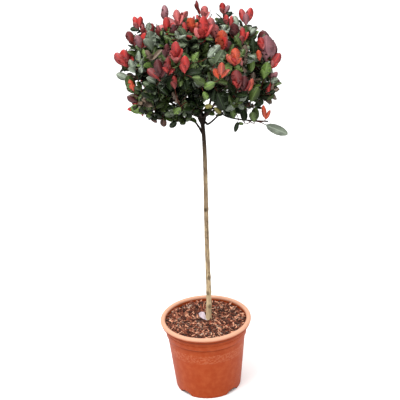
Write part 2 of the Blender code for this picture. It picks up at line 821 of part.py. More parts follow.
def build_crown(trunk, bark, leaf_finish):
    """All limbs first, because each mass of leaves keeps clear of every limb and stem."""
    trunk_curve, trunk_shape, wide_trunk = trunk
    carriers = {"": BVHTree.FromPolygons(*trunk_shape)}
    limbs = Obstacles()
    limbs.add(*wide_trunk)
    curves = {}
    radii = {}
    stems = {}
    for limb in LIMBS:
        curve, radius = limb_curve(limb, curves, carriers, trunk_curve)
        curves[limb.name] = curve
        radii[limb.name] = radius
        end = curve.length * LIMB_SHARE
        stations = curve.stations(0, end, LIMB_STATIONS)
        widths = tapered(radius, radius * LIMB_TAPER, LIMB_STATIONS)
        corners, faces = tube(stations, widths, LIMB_SIDES)
        made = add_object(limb.name + "_limb", corners, faces, bark)
        made.data.shade_smooth()
        carriers[limb.name] = BVHTree.FromPolygons(corners, faces)
        limbs.add(*tube(stations, [width + LIMB_CLEARANCE for width in widths], LIMB_SIDES))
        stem = curve.stations(end + GAP, curve.length, ROOM_STATIONS)
        stems[limb.name] = np.array([place for place, _ in stem])
    for limb in LIMBS:
        mass = Mass(limb, Room(limb, stems), limbs)
        mass.grow(curves[limb.name], radii[limb.name], leaf_finish)


def main():
    for old in list(bpy.data.objects):
        bpy.data.objects.remove(old)
    plastic = material("terracotta_plastic", (0.52, 0.10, 0.035), 0.45)
    earth = material("bark_compost", (0.09, 0.035, 0.025), 0.95)
    wood = material("bark", (0.36, 0.25, 0.15), 0.85)
    pale = material("pale_wood", (0.62, 0.55, 0.55), 0.8)
    leaf = material("leaf", (0.05, 0.12, 0.03), 0.35)
    build_pot(plastic)
    compost = build_compost(earth)
    build_chip(pale, compost)
    trunk = build_trunk(wood)
    build_crown(trunk, wood, leaf)


main()
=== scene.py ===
"""The looks of a dwarf evergreen shrub with red young leaves, a half standard in a round container pot.

Metres, +Z up. The origin is the middle of the pot's flat underside, and -Y is the front.
Limbs, stems and twigs follow the rule that made the solids. Here it goes on to finer shoots and every leaf.
"""

import json
import math
import random
from bisect import bisect_right
from collections import defaultdict
from dataclasses import dataclass
from functools import lru_cache

import bpy
import numpy as np
from bpy.props import FloatProperty, FloatVectorProperty, IntProperty, PointerProperty
from bpy.types import Operator, Panel, PropertyGroup
from mathutils import Matrix, Vector, geometry, noise
from mathutils.bvhtree import BVHTree

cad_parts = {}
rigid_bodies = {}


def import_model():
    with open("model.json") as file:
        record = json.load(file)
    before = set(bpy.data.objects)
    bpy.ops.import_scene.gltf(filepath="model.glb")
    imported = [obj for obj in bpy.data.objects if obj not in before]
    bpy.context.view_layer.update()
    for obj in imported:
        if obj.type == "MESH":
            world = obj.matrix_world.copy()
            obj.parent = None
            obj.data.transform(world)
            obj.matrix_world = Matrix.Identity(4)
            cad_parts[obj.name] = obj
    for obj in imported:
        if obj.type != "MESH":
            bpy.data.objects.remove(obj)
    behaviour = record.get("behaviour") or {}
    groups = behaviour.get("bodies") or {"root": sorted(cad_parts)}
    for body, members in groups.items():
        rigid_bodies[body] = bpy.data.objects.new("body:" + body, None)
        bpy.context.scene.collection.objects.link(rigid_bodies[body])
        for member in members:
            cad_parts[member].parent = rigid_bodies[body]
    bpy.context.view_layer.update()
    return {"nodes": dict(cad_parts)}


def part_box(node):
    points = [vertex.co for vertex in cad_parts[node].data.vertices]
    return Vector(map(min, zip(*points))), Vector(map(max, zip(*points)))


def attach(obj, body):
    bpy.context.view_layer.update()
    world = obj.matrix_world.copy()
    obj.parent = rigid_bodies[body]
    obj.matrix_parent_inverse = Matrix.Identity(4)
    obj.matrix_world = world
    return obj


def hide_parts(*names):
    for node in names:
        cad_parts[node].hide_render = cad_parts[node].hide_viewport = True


bl_info = {
    "name": "Potted Half Standard Shrub",
    "version": (1, 0, 0),
    "blender": (4, 5, 0),
    "location": "3D View > Sidebar > Shrub",
    "description": "Pot, bark compost, trunk, boughs, twigs and leaves of a small evergreen shrub",
    "category": "Object",
}

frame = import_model()
LIMB_NODES = [name for name in frame["nodes"] if name.endswith("_limb")]
LEAF_NODES = [name for name in frame["nodes"] if name.endswith("_leaves")]
LEAF_BOXES = [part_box(name) for name in LEAF_NODES]
REACH_LOW = np.min([low for low, _ in LEAF_BOXES], axis=0)
REACH_HIGH = np.max([high for _, high in LEAF_BOXES], axis=0)
POT_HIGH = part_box("pot")[1]

BODY = "root"
UP = Vector((0, 0, 1))
GOLDEN_ANGLE = math.radians(137.5)

# The way that the first side of a round piece faces.
FIRST_SIDE = Vector((0.31, 0.87, 0.39))

# The pot.
WALL = 0.0022
RIM_WIDTH = 0.0125
RIM_HEIGHT = 0.0135
RIM_MIDDLE = 0.42
RIM_HOLLOW = (0.0015, 0.0008)
RIM_ARC = (-55, 180, 20)
WALL_RADIUS = 0.1035
WALL_RINGS = 24
COLLAR_RADIUS = 0.1068
COLLAR_BOTTOM = 0.156
COLLAR_INSIDE = 0.004
BASE_RADIUS = 0.0872
BASE_ROUND = 0.004
BASE_INSET = 0.0006
BASE_EDGE = 0.0008
BASE_ARC = (-80, 0, 6)
PAD_RADIUS = 0.05
FOOT_HEIGHT = 0.013
FOOT_DRAFT = 0.004
NOTCH_COUNT = 4
NOTCH_WIDTH = 0.038
NOTCH_HEIGHT = 0.0115
NOTCH_SEGMENTS = 24
DRAIN_RADIUS = 0.005
DRAIN_RING = 0.067
DRAIN_SIDES = 24
CUTTER_REACH = 0.004
GROOVE_DEPTH = 0.0009
GROOVE_HALF = 0.0016
GROOVE_LIP = (0.6, 0.2)
SHARP_EDGE = math.radians(32)

# The collar's section, by distance out from its radius and height above its bottom.
COLLAR_STEPS = ((-0.0006, 0.0002), (0, 0.0012), (0.0009, 0.014), (0.0003, 0.015), (0.0013, 0.0162))

# Painted shade lines round the pot, at the groove, a step of the collar and under the rim, by their height,
# half their width, how dark they are and their least radius.
POT_SHADE_LINES = (
    (0.156, 0.0024, 0.75, 0.0),
    (0.1715, 0.001, 0.4, 0.0),
    (0.18, 0.0034, 0.65, 0.0),
    (0.1872, 0.003, 0.6, 0.11),
)
LINE_FADE = 0.001
LINE_SHADE = 0.3

# The painted highlight on the top of the rim, and the moulded figure under the groove, between the heights
# where each begins and is full.
RIM_HIGHLIGHT = (0.1915, 0.196)
RIM_HIGHLIGHT_SHARE = 0.9
FIGURE_BOTTOM = (0.112, 0.114)
FIGURE_TOP = (0.138, 0.142)
FIGURE_SCALE = 230.0
FIGURE_RANGE = (0.3, 0.6)
FIGURE_SHARE = 0.4
FIGURE_COLOUR = (0.5, 0.15, 0.07, 1)
FIGURE_RELIEF = 3.0
PLASTIC_GRAIN = 0.35

# The compost.
COMPOST_LEVEL = 0.187
COMPOST_RELIEF = 0.0035
COMPOST_LUMPS = 38
COMPOST_GAP = WALL * 1.5
COMPOST_FLOOR = FOOT_HEIGHT + WALL * 2
LEVEL_RADIUS = 0.016
COMPOST_RADIUS = 0.1062
COMPOST_RINGS = 40
COMPOST_SIDES = 128
TOP_MARGIN = 0.001
EARTH_PATCHES = 2.4

# Crumbs on the compost by their fineness and height.
CRUMBS = ((260, 0.0007), (110, 0.0012))

# The bark chips: their outlines, one unit long, how they bend, narrow and lie, and where they are dealt out.
BARK_OUTLINES = (
    ((-0.5, -0.1), (0.1, -0.14), (0.5, -0.03), (0.38, 0.1), (-0.3, 0.12)),
    ((-0.5, -0.03), (-0.1, -0.08), (0.5, -0.05), (0.44, 0.03), (-0.42, 0.06)),
    ((-0.46, -0.11), (0.26, -0.13), (0.48, 0.04), (0.12, 0.14), (-0.44, 0.08)),
    ((-0.5, 0), (-0.2, -0.12), (0.45, -0.12), (0.5, 0.02), (0, 0.09)),
    ((-0.5, -0.06), (0, -0.05), (0.5, -0.09), (0.46, 0.01), (-0.1, 0.06)),
)
BARK_BEND = 0.05
BARK_THICKNESS = 0.05
BARK_NARROWING = 0.2
BARK_TILT = 0.7
BARK_SIZES = (0.45, 1.7)
BARK_RADIUS = 0.103
BARK_RINGS = 16
BARK_SEED = 3

# The kinds of bark by name, colour, second colour, number to a square metre, size and lift.
BARK_KINDS = (
    ("dark", "dark_bark", "earth", 15000.0, 1.0, 0.0004),
    ("red", "red_bark", "dark_bark", 20000.0, 1.0, 0.001),
    ("tan", "tan_bark", "red_bark", 10500.0, 0.85, 0.0018),
    ("grey", "grey_bark", "dark_bark", 4500.0, 0.9, 0.0016),
)

# The pale chip, from its lower end to its upper end, and the room that the bark leaves it.
CHIP_PLACE = (-0.006, 0.004, COMPOST_LEVEL)
CHIP_ROOM = 0.011
CHIP_WIDTH = 0.0165
CHIP_THICKNESS = 0.0018
CHIP_FOOT = Vector((-0.0015, -0.003, 0.1868))
CHIP_HEAD = Vector((-0.0125, 0.02, 0.201))
CHIP_OUTLINE = (
    (0.3, 0),
    (0.46, 0.12),
    (0.42, 0.6),
    (0.5, 0.86),
    (0.1, 1),
    (-0.4, 0.95),
    (-0.5, 0.62),
    (-0.22, 0.3),
)

# The trunk.
FOOT = Vector((0.008, 0.006, COMPOST_LEVEL + 0.0003))
KNOT = Vector((0.0145, 0.0, 0.75))
TRUNK_COURSE = (
    FOOT,
    Vector((0.0109, 0.005, 0.248)),
    Vector((0.0128, 0.003, 0.437)),
    Vector((0.017, 0.001, 0.628)),
    Vector((0.0168, 0.0, 0.7)),
    KNOT,
)
FLARE = 0.0028
FLARE_HEIGHT = 0.012
SCAR_SHARES = (0.075, 0.145, 0.225, 0.57)
SCAR_SWELLING = 0.0009
SCAR_LENGTH = 0.006
KNOT_SWELLING = 0.0056
KNOT_LENGTH = 0.011
KNOT_TOP = 0.013
KNOT_RINGS = 14
KNOT_TIP = 0.0004
TRUNK_STEP = 0.0012

# The trunk's colours: between which heights the pale foot ends, and for each darker layer where it begins
# and is full, how strong it is, its colour and the share of that colour's light.
PALE_FOOT = (0.24, 0.33)
FOOT_LIGHT = 1.3
FOOT_MOTTLE = 0.35
TRUNK_LAYERS = (
    (0.46, 0.6, 0.45, "grey_bark", 0.9),
    (0.6, 0.69, 0.9, "dark_bark", 1.0),
    (0.69, 0.735, 1.0, "dark_bark", 0.4),
)
SCAR_SIDES = (0.002, -0.003, 0.001, -0.001)
SCAR_FRONT = -0.0066
SCAR_SPOT = 0.0062
SCAR_SHARE = 0.6

# How far the grain of wood is drawn out along it, and the sides, relief and ridge scale of round wood.
WOOD_DRAWN = 0.16
TRUNK_ROUND = (48, 0.0011, 420.0)
BOUGH_ROUND = (12, 0.0006, 500.0)
TWIG_ROUND = (6, 0.0001, 600.0)

# The limbs and the twigs.
LIMB_RADIUS = 0.0024
SIDE_LIMB_RADIUS = 0.0018
LIMB_TAPER = 0.72
BARK_SHARE = 1.3
LIMB_SIDES = 5
LIMB_STATIONS = 5
LIMB_SHARE = 0.42
LIMB_CLEARANCE = 0.0006
LEAVING_RISE = 0.6
SIDE_LEAN = 0.75
UPTURN = 0.55
CURVE_STEPS = 24
HANDLE = 0.36
ROOM_STATIONS = 7
STEM_STATIONS = 5
TWIG_STATIONS = 3
TWIG_SIDES = 3
TWIG_SHORTER = 0.41
TWIG_ANGLE = math.radians(48)
TWIG_UPTURN = 0.45
TWIG_RADIUS = 0.0014
TWIG_TIP = 0.001
STRAY_TIP = 0.0014
TWIG_CLEAR = 0.006
TWIG_SHARES = (0.08, 0.34, 0.6)
TWIG_LENGTHS = (1.0, 0.75, 0.52)
TWIG_TRIES = 8
TWIG_RANGE = (0.88, 1.1)
TIP_BACK = 0.028
TIP_ROOM = 0.03

# The finer shoots.
SHOOT_SPACING = 0.016
SHOOT_START = 0.2
INNER_SHARE = 0.16
SHOOT_RANGE = (0.7, 1.3)
SHOOT_RADIUS = 0.0009
SHOOT_TIP = 0.0006
SHOOT_ROOM = 0.018
SHOOT_LENGTHS = (1.0, 0.7)

# The leaves.
LEAF_SPREAD = math.radians(58)
LENGTH_RANGE = (0.66, 1.14)
SPREAD_RANGE = (0.85, 1.2)
SPACING_RANGE = (0.8, 1.2)
LEAF_LIFT = 0.1
OLD_LIGHT = Vector((0, -0.35, 0.45))
YOUNG_LIGHT = Vector((0, 0, 0.1))
TIP_SPREAD = math.radians(20)
YOUNG_SPREAD = math.radians(13)
TIP_LEAVES = 4
YOUNG_SPACING = 0.0045
YOUNG_GROWTH = 0.14
TIP_LENGTH = 0.85
LOW_LENGTH = 0.84
HIGHEST_FLUSH = 0.965
LOW_LEVEL = 0.825
HIGH_REDNESS = 0.75
LOW_REDNESS = 0.4
TIP_BARE = 0.001
BARE_SHARE = 0.15
LEAF_TRIES = 5
LEAF_SWING = 0.5
LEAF_SHRINK = 0.04
TEST_START = 0.25
TEST_WAIST = 0.45
TEST_SHOULDER = 0.75
TEST_END = 0.92
TEST_WIDTH = 0.3
YOUNG_TEST_WIDTH = 0.16
STEEP = 0.95

# The room of each mass. Old leaves keep to a dome that is lower than the crown's outline.
REACH_ALLOWANCE = 0.02
ROOM_MARGIN = 0.0007
CROWN_CENTRE = np.array((0.013, 0.0, 0.885))
CROWN_SIZE = np.array((0.2, 0.195, 0.152))
CROWN_DEPTH = 0.185
CROWN_POWER = 3
CROWN_FLOOR = 0.752
CROWN_EDGE = 0.806
DOME_SIZE = np.array((0.196, 0.19, 0.098))
DOME_POWER = 2.4
MOST_SHAPES = 16000

# The view. Places in it are counted in parts from its top left.
EYE = Vector((0.0, -2.2, 1.466))
LENS = 85.6
SENSOR = 36.0
VIEW_PARTS = 400
PITCH = math.radians(22.95)
ROLL = math.radians(2.78)
VIEW_TURNED = Matrix.Rotation(math.pi / 2 - PITCH, 3, "X") @ Matrix.Rotation(-ROLL, 3, "Z")

# The sprays at the front, and the clear line from each of them towards the eye.
SPRAY_SEED = 500
SPRAY_SOURCE = 0.9
SPRAY_SOURCES = 8
SPRAY_STEM = 0.034
SPRAY_FORK = 0.6
SPRAY_TRIES = 3
SPRAY_RADIUS = 0.0013
SPRAY_TIP = 0.0009
SPRAY_CLOSED = math.radians(9)
SPRAY_OPENING = 0.6
SPRAY_SPACING = 0.0036
SPRAY_LENGTHS = (0.55, 1.0)
SPRAY_BARE = 0.3
BELOW_LENGTH = 0.85
VIEW_TURN = 0.45
VIEW_RISE = math.radians(23)
BACK_LIMIT = 0.8
SIGHT_START = 0.012
SIGHT_LENGTH = 0.16
SIGHT_WIDTH = 0.29
SIGHT_SHARES = (0.25, 0.65)
SIGHT_SIDES = 6

# Gaps that show the sky or the fork, by their place in the view, and their radius at the trunk.
WINDOW_REACH = 0.24
WINDOWS = (
    ((209, 112), 0.018),
    ((197, 112), 0.012),
    ((219, 112), 0.013),
    ((219, 103), 0.005),
    ((213, 90), 0.004),
    ((143, 88), 0.005),
    ((153, 110), 0.006),
    ((174, 104), 0.005),
    ((252, 45), 0.008),
    ((250, 105), 0.012),
    ((132, 72), 0.004),
)


@dataclass
class Limb:
    """A limb, by the bearing and rise of its furthest leaves from the knot in degrees, and their distance.

    Bearing 0 is the right-hand side, 90 the back and 270 the front. A side limb forks from its parent
    at a share of the parent's length, and a main limb leaves the trunk at a distance below the middle
    of the knot. Via holds places that a limb passes. Leaves keep above the floor, and inside the
    crown's outline and its bowl unless the limb is a stray.
    """

    name: str
    bearing: float
    rise: float
    reach: float
    seed: int
    parent: str = ""
    fork: float = 0.0
    below: float = 0.0
    via: tuple = ()
    floor: float = CROWN_FLOOR
    stray: bool = False
    twigs: tuple = TWIG_SHARES


LEFT_LOW_VIA = ((0.0056, -0.001, 0.728), (-0.006, -0.003, 0.7435), (-0.04, -0.012, 0.756))
RIGHT_LOW_VIA = ((0.0285, -0.003, 0.7345), (0.061, -0.018, 0.765))
STRAY_VIA = ((0.092, -0.08, 0.77),)
LIMBS = (
    Limb("left", 183, 43, 0.254, 1),
    Limb("left_low", 203, 31, 0.208, 2, below=0.045, via=LEFT_LOW_VIA, floor=0.745),
    Limb("left_front", 233, 50, 0.24, 3, floor=0.78),
    Limb("front", 262, 51, 0.258, 4, floor=0.8),
    Limb("front_right", 295, 50, 0.255, 5, floor=0.8),
    Limb("right_low", 338, 28, 0.2, 6, below=0.006, via=RIGHT_LOW_VIA),
    Limb("right", 2, 46, 0.262, 7),
    Limb("back_right", 42, 44, 0.25, 8),
    Limb("back", 88, 44, 0.25, 9),
    Limb("back_left", 136, 44, 0.25, 10),
    Limb("top", 330, 87, 0.28, 11),
    Limb("left_high", 163, 61, 0.284, 12, "left", 0.85),
    Limb("top_left", 165, 73, 0.28, 13, "left", 0.55),
    Limb("top_front", 262, 69, 0.272, 14, "front", 0.6),
    Limb("top_right", 32, 70, 0.282, 15, "back_right", 0.6),
    Limb("right_high", 10, 62, 0.284, 16, "right", 0.8),
    Limb("back_high", 98, 66, 0.27, 17, "back", 0.85),
    Limb("front_low_right", 306, 32, 0.208, 18, "front_right", 0.6, floor=0.775),
    Limb("front_low", 258, 31, 0.19, 19, "front", 0.85, floor=0.795),
    Limb("left_bottom", 182, 18, 0.18, 20, "left_low", 0.85, floor=0.74),
    Limb("back_low_left", 150, 23, 0.192, 21, "back_left", 0.6),
    Limb("back_low", 100, 23, 0.192, 22, "back", 0.55, floor=0.77),
    Limb("back_low_right", 48, 22, 0.192, 23, "back_right", 0.85),
    Limb(
        "right_stray", 330, 4, 0.205, 24, "right_low", 0.75, via=STRAY_VIA, floor=0.712, stray=True, twigs=()
    ),
)


@dataclass
class Spray:
    """Leaves at the tip of one shoot that shows at the front.

    It holds a number of leaves of one tint. Foot and tip are where its longest leaf begins and ends in the
    view. Depth is the foot's place along Y, and forward is how much nearer to the eye the tip is. The leaves
    open by a spread in degrees. Below them the shoot may bear older leaves. A slim spray has narrow leaves.
    """

    tint: str
    leaves: int
    foot: tuple
    tip: tuple
    depth: float
    forward: float
    spread: float
    below: str = ""
    slim: bool = False


SPRAY_ROWS = (
    # The left side.
    ("red", 3, (127, 67), (123, 49), -0.03, 0, 16, "mid"),
    ("red", 2, (138, 28), (133, 16), 0.03, 0, 12, "dark"),
    ("deep", 3, (143, 34), (142, 23), 0.01, 0, 10, "dark"),
    ("deep", 3, (133, 44), (127, 31), -0.01, 0, 15, "dark"),
    ("red", 4, (143, 46), (145, 33), -0.05, 0.005, 14, "dark"),
    ("mauve", 3, (141, 47), (136, 35), -0.06, 0.005, 12),
    ("silver", 1, (147, 32), (150, 22), -0.02, 0, 8),
    ("silver", 2, (152, 50), (151, 30), -0.05, 0.005, 16, "mid"),
    ("deep", 2, (159, 35), (157, 25), -0.03, 0, 12, "dark"),
    ("silver", 2, (135, 72), (129, 60), -0.07, 0.006, 14, "dark"),
    ("orange", 1, (134, 92), (129, 80), -0.06, 0.006, 8),
    ("mid", 2, (134, 93), (127, 76), -0.05, 0.006, 10, "dark"),
    ("silver", 1, (129, 79), (115, 75), -0.03, 0, 8),
    ("maroon", 1, (138, 103), (126, 97), -0.04, 0, 8),
    ("mid", 1, (140, 94), (131, 86), -0.06, 0, 8),
    ("fresh", 2, (146, 110), (129, 110), -0.05, 0.003, 16),
    ("brown", 1, (148, 112), (157, 125), -0.05, 0, 8, "", True),
    ("brown", 1, (163, 117), (164, 128), -0.05, 0, 8),
    ("dark", 1, (177, 121), (169, 130), -0.04, 0, 8),
    # The top.
    ("mauve", 2, (166, 21), (164, 4), 0.02, 0, 8),
    ("red", 5, (167, 31), (166, 17), -0.02, 0.003, 16, "dark"),
    ("coral", 5, (178, 24), (176, 9), 0.02, 0, 18, "dark"),
    ("deep", 1, (180, 22), (184, 12), 0.02, 0, 8, "", True),
    ("maroon", 3, (174, 37), (173, 24), -0.05, 0.005, 12, "mid"),
    ("blue", 1, (186, 38), (180, 28), -0.1, 0.004, 8),
    ("silver", 1, (178, 39), (187, 36), -0.12, 0.004, 8, "", True),
    ("orange", 3, (192, 32), (190, 17), -0.03, 0.003, 9, "mid"),
    ("deep", 2, (198, 10), (196, 0), 0.04, 0, 10, "", True),
    ("deep", 1, (200, 15), (197, 6), 0.04, 0, 8, "", True),
    ("coral", 3, (204, 18), (205, 5), 0.03, 0, 12, "dark"),
    ("red", 7, (203, 38), (203, 16), -0.07, 0.006, 12, "mid"),
    ("coral", 3, (215, 38), (215, 24), -0.05, 0.005, 12, "dark"),
    ("red", 3, (223, 13), (222, 2), 0.06, 0, 14, "dark"),
    ("mauve", 1, (225, 13), (230, 5), 0.05, 0, 8),
    ("red", 2, (227, 24), (226, 14), 0.02, 0, 10, "dark"),
    ("orange", 4, (222, 48), (222, 30), -0.11, 0.009, 6, "fresh"),
    ("maroon", 4, (236, 38), (233, 23), -0.03, 0.003, 14, "dark"),
    ("silver", 2, (238, 27), (233, 15), 0.02, 0, 16, "dark"),
    # The right side.
    ("red", 2, (246, 24), (252, 7), 0.03, 0, 12, "dark"),
    ("red", 4, (243, 39), (242, 27), -0.04, 0.003, 14, "dark"),
    ("silver", 1, (247, 36), (257, 29), -0.01, 0, 8),
    ("dark", 1, (254, 56), (252, 38), -0.05, 0, 8),
    ("maroon", 2, (267, 54), (262, 30), -0.01, 0, 10, "dark"),
    ("mauve", 2, (267, 61), (266, 35), -0.03, 0.004, 10),
    ("maroon", 1, (270, 61), (276, 44), -0.02, 0, 8),
    ("red", 3, (262, 48), (260, 37), -0.04, 0.004, 12, "dark"),
    ("orange", 2, (260, 60), (258, 50), -0.06, 0.003, 12),
    ("red", 4, (272, 67), (281, 53), -0.03, 0, 14, "mid"),
    ("mauve", 2, (271, 80), (278, 72), -0.04, 0.003, 14, "mid"),
    ("silver", 1, (268, 82), (280, 80), -0.05, 0.003, 8),
    ("fresh", 2, (264, 78), (268, 62), -0.06, 0.005, 14, "mid"),
    ("fresh", 1, (251, 73), (251, 58), -0.08, 0.006, 8),
    ("silver", 1, (243, 63), (256, 57), -0.1, 0.006, 8),
    ("deep", 2, (270, 83), (262, 101), -0.05, 0, 8),
    ("mid", 1, (266, 100), (275, 95), -0.05, 0, 8),
    # The middle of the front.
    ("orange", 5, (236, 63), (235, 48), -0.175, 0.009, 18, "fresh"),
    ("coral", 1, (242, 66), (240, 59), -0.165, 0.003, 8),
    ("orange", 4, (221, 76), (222, 63), -0.185, 0.009, 18, "mid"),
    ("red", 5, (176, 58), (176, 42), -0.17, 0.009, 14, "mid"),
    ("red", 2, (185, 73), (185, 56), -0.185, 0.006, 9, "dark"),
    ("maroon", 5, (160, 76), (157, 60), -0.175, 0.009, 22, "dark"),
    ("deep", 3, (167, 73), (168, 58), -0.18, 0.009, 18, "dark"),
    ("maroon", 3, (166, 57), (167, 44), -0.165, 0.006, 16, "mid"),
    ("deep", 2, (175, 88), (174, 76), -0.185, 0.006, 10),
    ("fresh", 1, (192, 62), (199, 53), -0.18, 0.006, 8),
    ("silver", 1, (207, 58), (221, 47), -0.175, 0.012, 8),
    ("blue", 1, (215, 64), (224, 50), -0.18, 0.006, 8),
    ("deep", 3, (237, 87), (236, 70), -0.18, 0.009, 10, "dark"),
    ("maroon", 4, (243, 91), (245, 76), -0.175, 0.006, 14, "dark"),
    ("orange", 2, (249, 90), (253, 79), -0.17, 0.006, 10),
    ("mid", 1, (250, 103), (259, 87), -0.15, 0, 8),
    ("mid", 2, (193, 78), (206, 86), -0.185, 0.006, 20, "dark"),
    ("fresh", 2, (216, 82), (204, 90), -0.185, 0.006, 20),
    ("fresh", 1, (203, 91), (208, 102), -0.185, 0.006, 8),
    ("fresh", 2, (181, 107), (174, 116), -0.18, 0.006, 50),
    ("dark", 3, (217, 91), (225, 115), -0.18, 0.006, 12),
    ("dark", 3, (206, 88), (208, 104), -0.1, 0, 24),
    ("dark", 3, (210, 84), (217, 99), -0.06, 0, 24),
    ("dark", 3, (198, 86), (194, 100), -0.12, 0, 24),
    ("olive", 1, (213, 106), (203, 108), -0.175, 0, 8),
    ("olive", 1, (214, 107), (222, 115), -0.17, 0, 8),
    # The stray shoot.
    ("silver", 1, (264, 124), (289, 138), -0.1, 0, 6, "", True),
    ("orange", 1, (265, 119), (263, 105), -0.1, 0, 6, "", True),
    ("orange", 1, (265, 120), (271, 110), -0.1, 0, 6, "", True),
    ("mid", 2, (255, 122), (256, 107), -0.1, 0, 12),
    ("dark", 1, (245, 122), (243, 109), -0.1, 0, 6),
    ("dark", 1, (238, 121), (235, 134), -0.1, 0, 6, "", True),
    ("fresh", 1, (244, 124), (237, 124), -0.1, 0, 6),
    # Broad leaves that fork from a flush.
    ("red", 1, (126, 67), (114, 53), -0.036, 0, 6),
    ("coral", 1, (129, 66), (132, 52), -0.026, 0, 6),
    ("red", 1, (139, 28), (141, 16), 0.026, 0, 6),
    ("red", 1, (245, 24), (240, 8), 0.024, 0, 6),
    ("mauve", 1, (246, 26), (246, 13), 0.018, 0, 6),
    ("red", 1, (231, 27), (231, 16), 0.02, 0, 6),
    ("coral", 1, (212, 30), (210, 17), -0.06, 0.003, 6),
    ("red", 1, (185, 34), (184, 22), -0.04, 0.003, 6, "mid"),
    ("deep", 2, (152, 33), (152, 23), -0.01, 0.003, 14, "dark"),
    ("mauve", 1, (271, 59), (272, 40), -0.026, 0.002, 6),
    ("deep", 1, (237, 49), (243, 36), -0.06, 0.003, 6, "dark"),
    ("maroon", 2, (228, 52), (230, 41), -0.09, 0.003, 14, "dark"),
    ("mid", 2, (241, 47), (234, 36), -0.07, 0.003, 14),
)

SPRAYS = [Spray(*row) for row in SPRAY_ROWS]

# The tints of the leaves with how often each is dealt out: old ones high up and low down, and young ones.
# Old leaves high up get more of the pale tints with painted sheen, and lower down more of the near-black one:
# partly painted light from above and painted shade under the crown.
HIGH_TINTS = {"dark": 0.17, "mid": 0.27, "blue": 0.2, "silver": 0.17, "fresh": 0.05, "bronze": 0.14}
MIDDLE_TINTS = {"dark": 0.55, "mid": 0.14, "blue": 0.06, "silver": 0.06, "fresh": 0.07, "bronze": 0.12}
LOW_TINTS = {"dark": 0.56, "mid": 0.22, "blue": 0.1, "fresh": 0.05, "olive": 0.03, "bronze": 0.04}
YOUNG_TINTS = {"red": 0.34, "orange": 0.16, "deep": 0.2, "maroon": 0.16, "coral": 0.07, "mauve": 0.07}

# The tint that some leaves of a flush have instead of its own, and how often.
NEXT_TINT = {
    "red": "coral",
    "orange": "red",
    "deep": "red",
    "maroon": "deep",
    "coral": "red",
    "mauve": "maroon",
}
NEXT_SHARE = 0.28


@dataclass
class LeafShape:
    """A leaf of unit length: its width, where that is, and how it folds, curls, cups, waves and twists."""

    width: float
    widest: float
    fold: float
    curl: float
    cup: float = 0.0
    wave: float = 0.0
    twist: float = 0.0


OLD_SHAPES = (
    LeafShape(0.54, 0.5, 0.1, 0.1),
    LeafShape(0.58, 0.54, 0.2, 0.22),
    LeafShape(0.5, 0.48, 0.06, 0.34, wave=0.014),
    LeafShape(0.6, 0.54, 0.15, -0.1, twist=0.3),
    LeafShape(0.54, 0.52, 0.26, 0.18, twist=-0.35),
    LeafShape(0.5, 0.5, 0.12, 0.5, wave=0.018),
)
YOUNG_SHAPES = (
    LeafShape(0.52, 0.54, 0.24, 0.06),
    LeafShape(0.59, 0.59, 0.16, -0.1, cup=0.08, wave=0.012),
    LeafShape(0.47, 0.52, 0.32, 0.26, twist=0.3),
    LeafShape(0.54, 0.57, 0.26, 0.14, twist=-0.3),
    LeafShape(0.43, 0.52, 0.2, 0.36, wave=0.018),
)
SLIM_SHAPES = (LeafShape(0.34, 0.48, 0.16, 0.1),)
BLUNTNESS = 0.58
PETIOLE = 0.1
PETIOLE_WIDTH = 0.034
PETIOLE_THICKNESS = 1.6
LEAF_THICKNESS = 0.012
LEAF_STATIONS = (0.0, PETIOLE, 0.2, 0.38, 0.58, 0.77, 0.93, 1.0)

# The corners of a leaf at each station: how many are on its upper face, and then the layer and side of each.
LEAF_WIDE = 3
LEAF_PLACES = ((0, -1.0), (0, 0.0), (0, 1.0), (1, 0.0))

# How much a curled leaf is shortened, and how a wavy edge runs.
CURL_SHORTENING = 0.12
WAVE_COUNT = 19
WAVE_OFFSET = 1.2

# The looks of the leaves. Ribs stand out more and gloss is weaker on dark leaves, and lower faces are paler.
# A pinkish painted sheen, added to the patches of young leaves.
PAINTED_SHEEN = (0.024, 0.02, 0.024)
PATCH_SHADE = 0.62
YOUNG_RIB = 1.35
RIB_GAIN = 1.6
RIB_FALL = 8
RIB_LIGHT = 0.006
YOUNG_SHEEN = 0.4
LEAST_SHEEN = 0.1
SHEEN_GAIN = 1.6
MOST_SHEEN = 0.36
UNDER_LIGHT = 0.02
UNDER_YOUNG = 0.92
UNDER_OLD = 1.4
RIB_EDGES = (0.015, 0.045)
VEIN_SLANT = 0.6
VEIN_COUNT = 62.0
VEIN_SHARPNESS = 0.35
VEIN_DEPTH = 0.0005
RIB_DEPTH = 0.8
PATCH_SCALE = 55.0
PATCH_EDGES = (0.42, 0.62)
GLOSS_EDGES = (0.35, 0.65)
UPPER_GLOSS = (0.26, 0.42)
UNDER_GLOSS = (0.5, 0.62)

# The stage: half the floor's width, the camera's reach, and the lights by place, aim and width.
FLOOR_HALF = 30.0
CLIP_END = 200.0
LIGHTS = {
    "ceiling": ((0.0, 0.0, 8.0), (0.0, 0.01, 0.0), 26.0),
    "overhead": ((-0.7, -0.9, 2.8), (0.0, 0.0, 0.8), 1.2),
}


# Settings, which a user may change.


def distance(name, description, default):
    return FloatProperty(
        name=name, description=description, default=default, min=0, unit="LENGTH", subtype="DISTANCE"
    )


def tint(name, description, default):
    return FloatVectorProperty(
        name=name, description=description, default=default, size=3, min=0, max=1, subtype="COLOR"
    )


def power(name, description, default):
    return FloatProperty(name=name, description=description, default=default, min=0, unit="POWER")


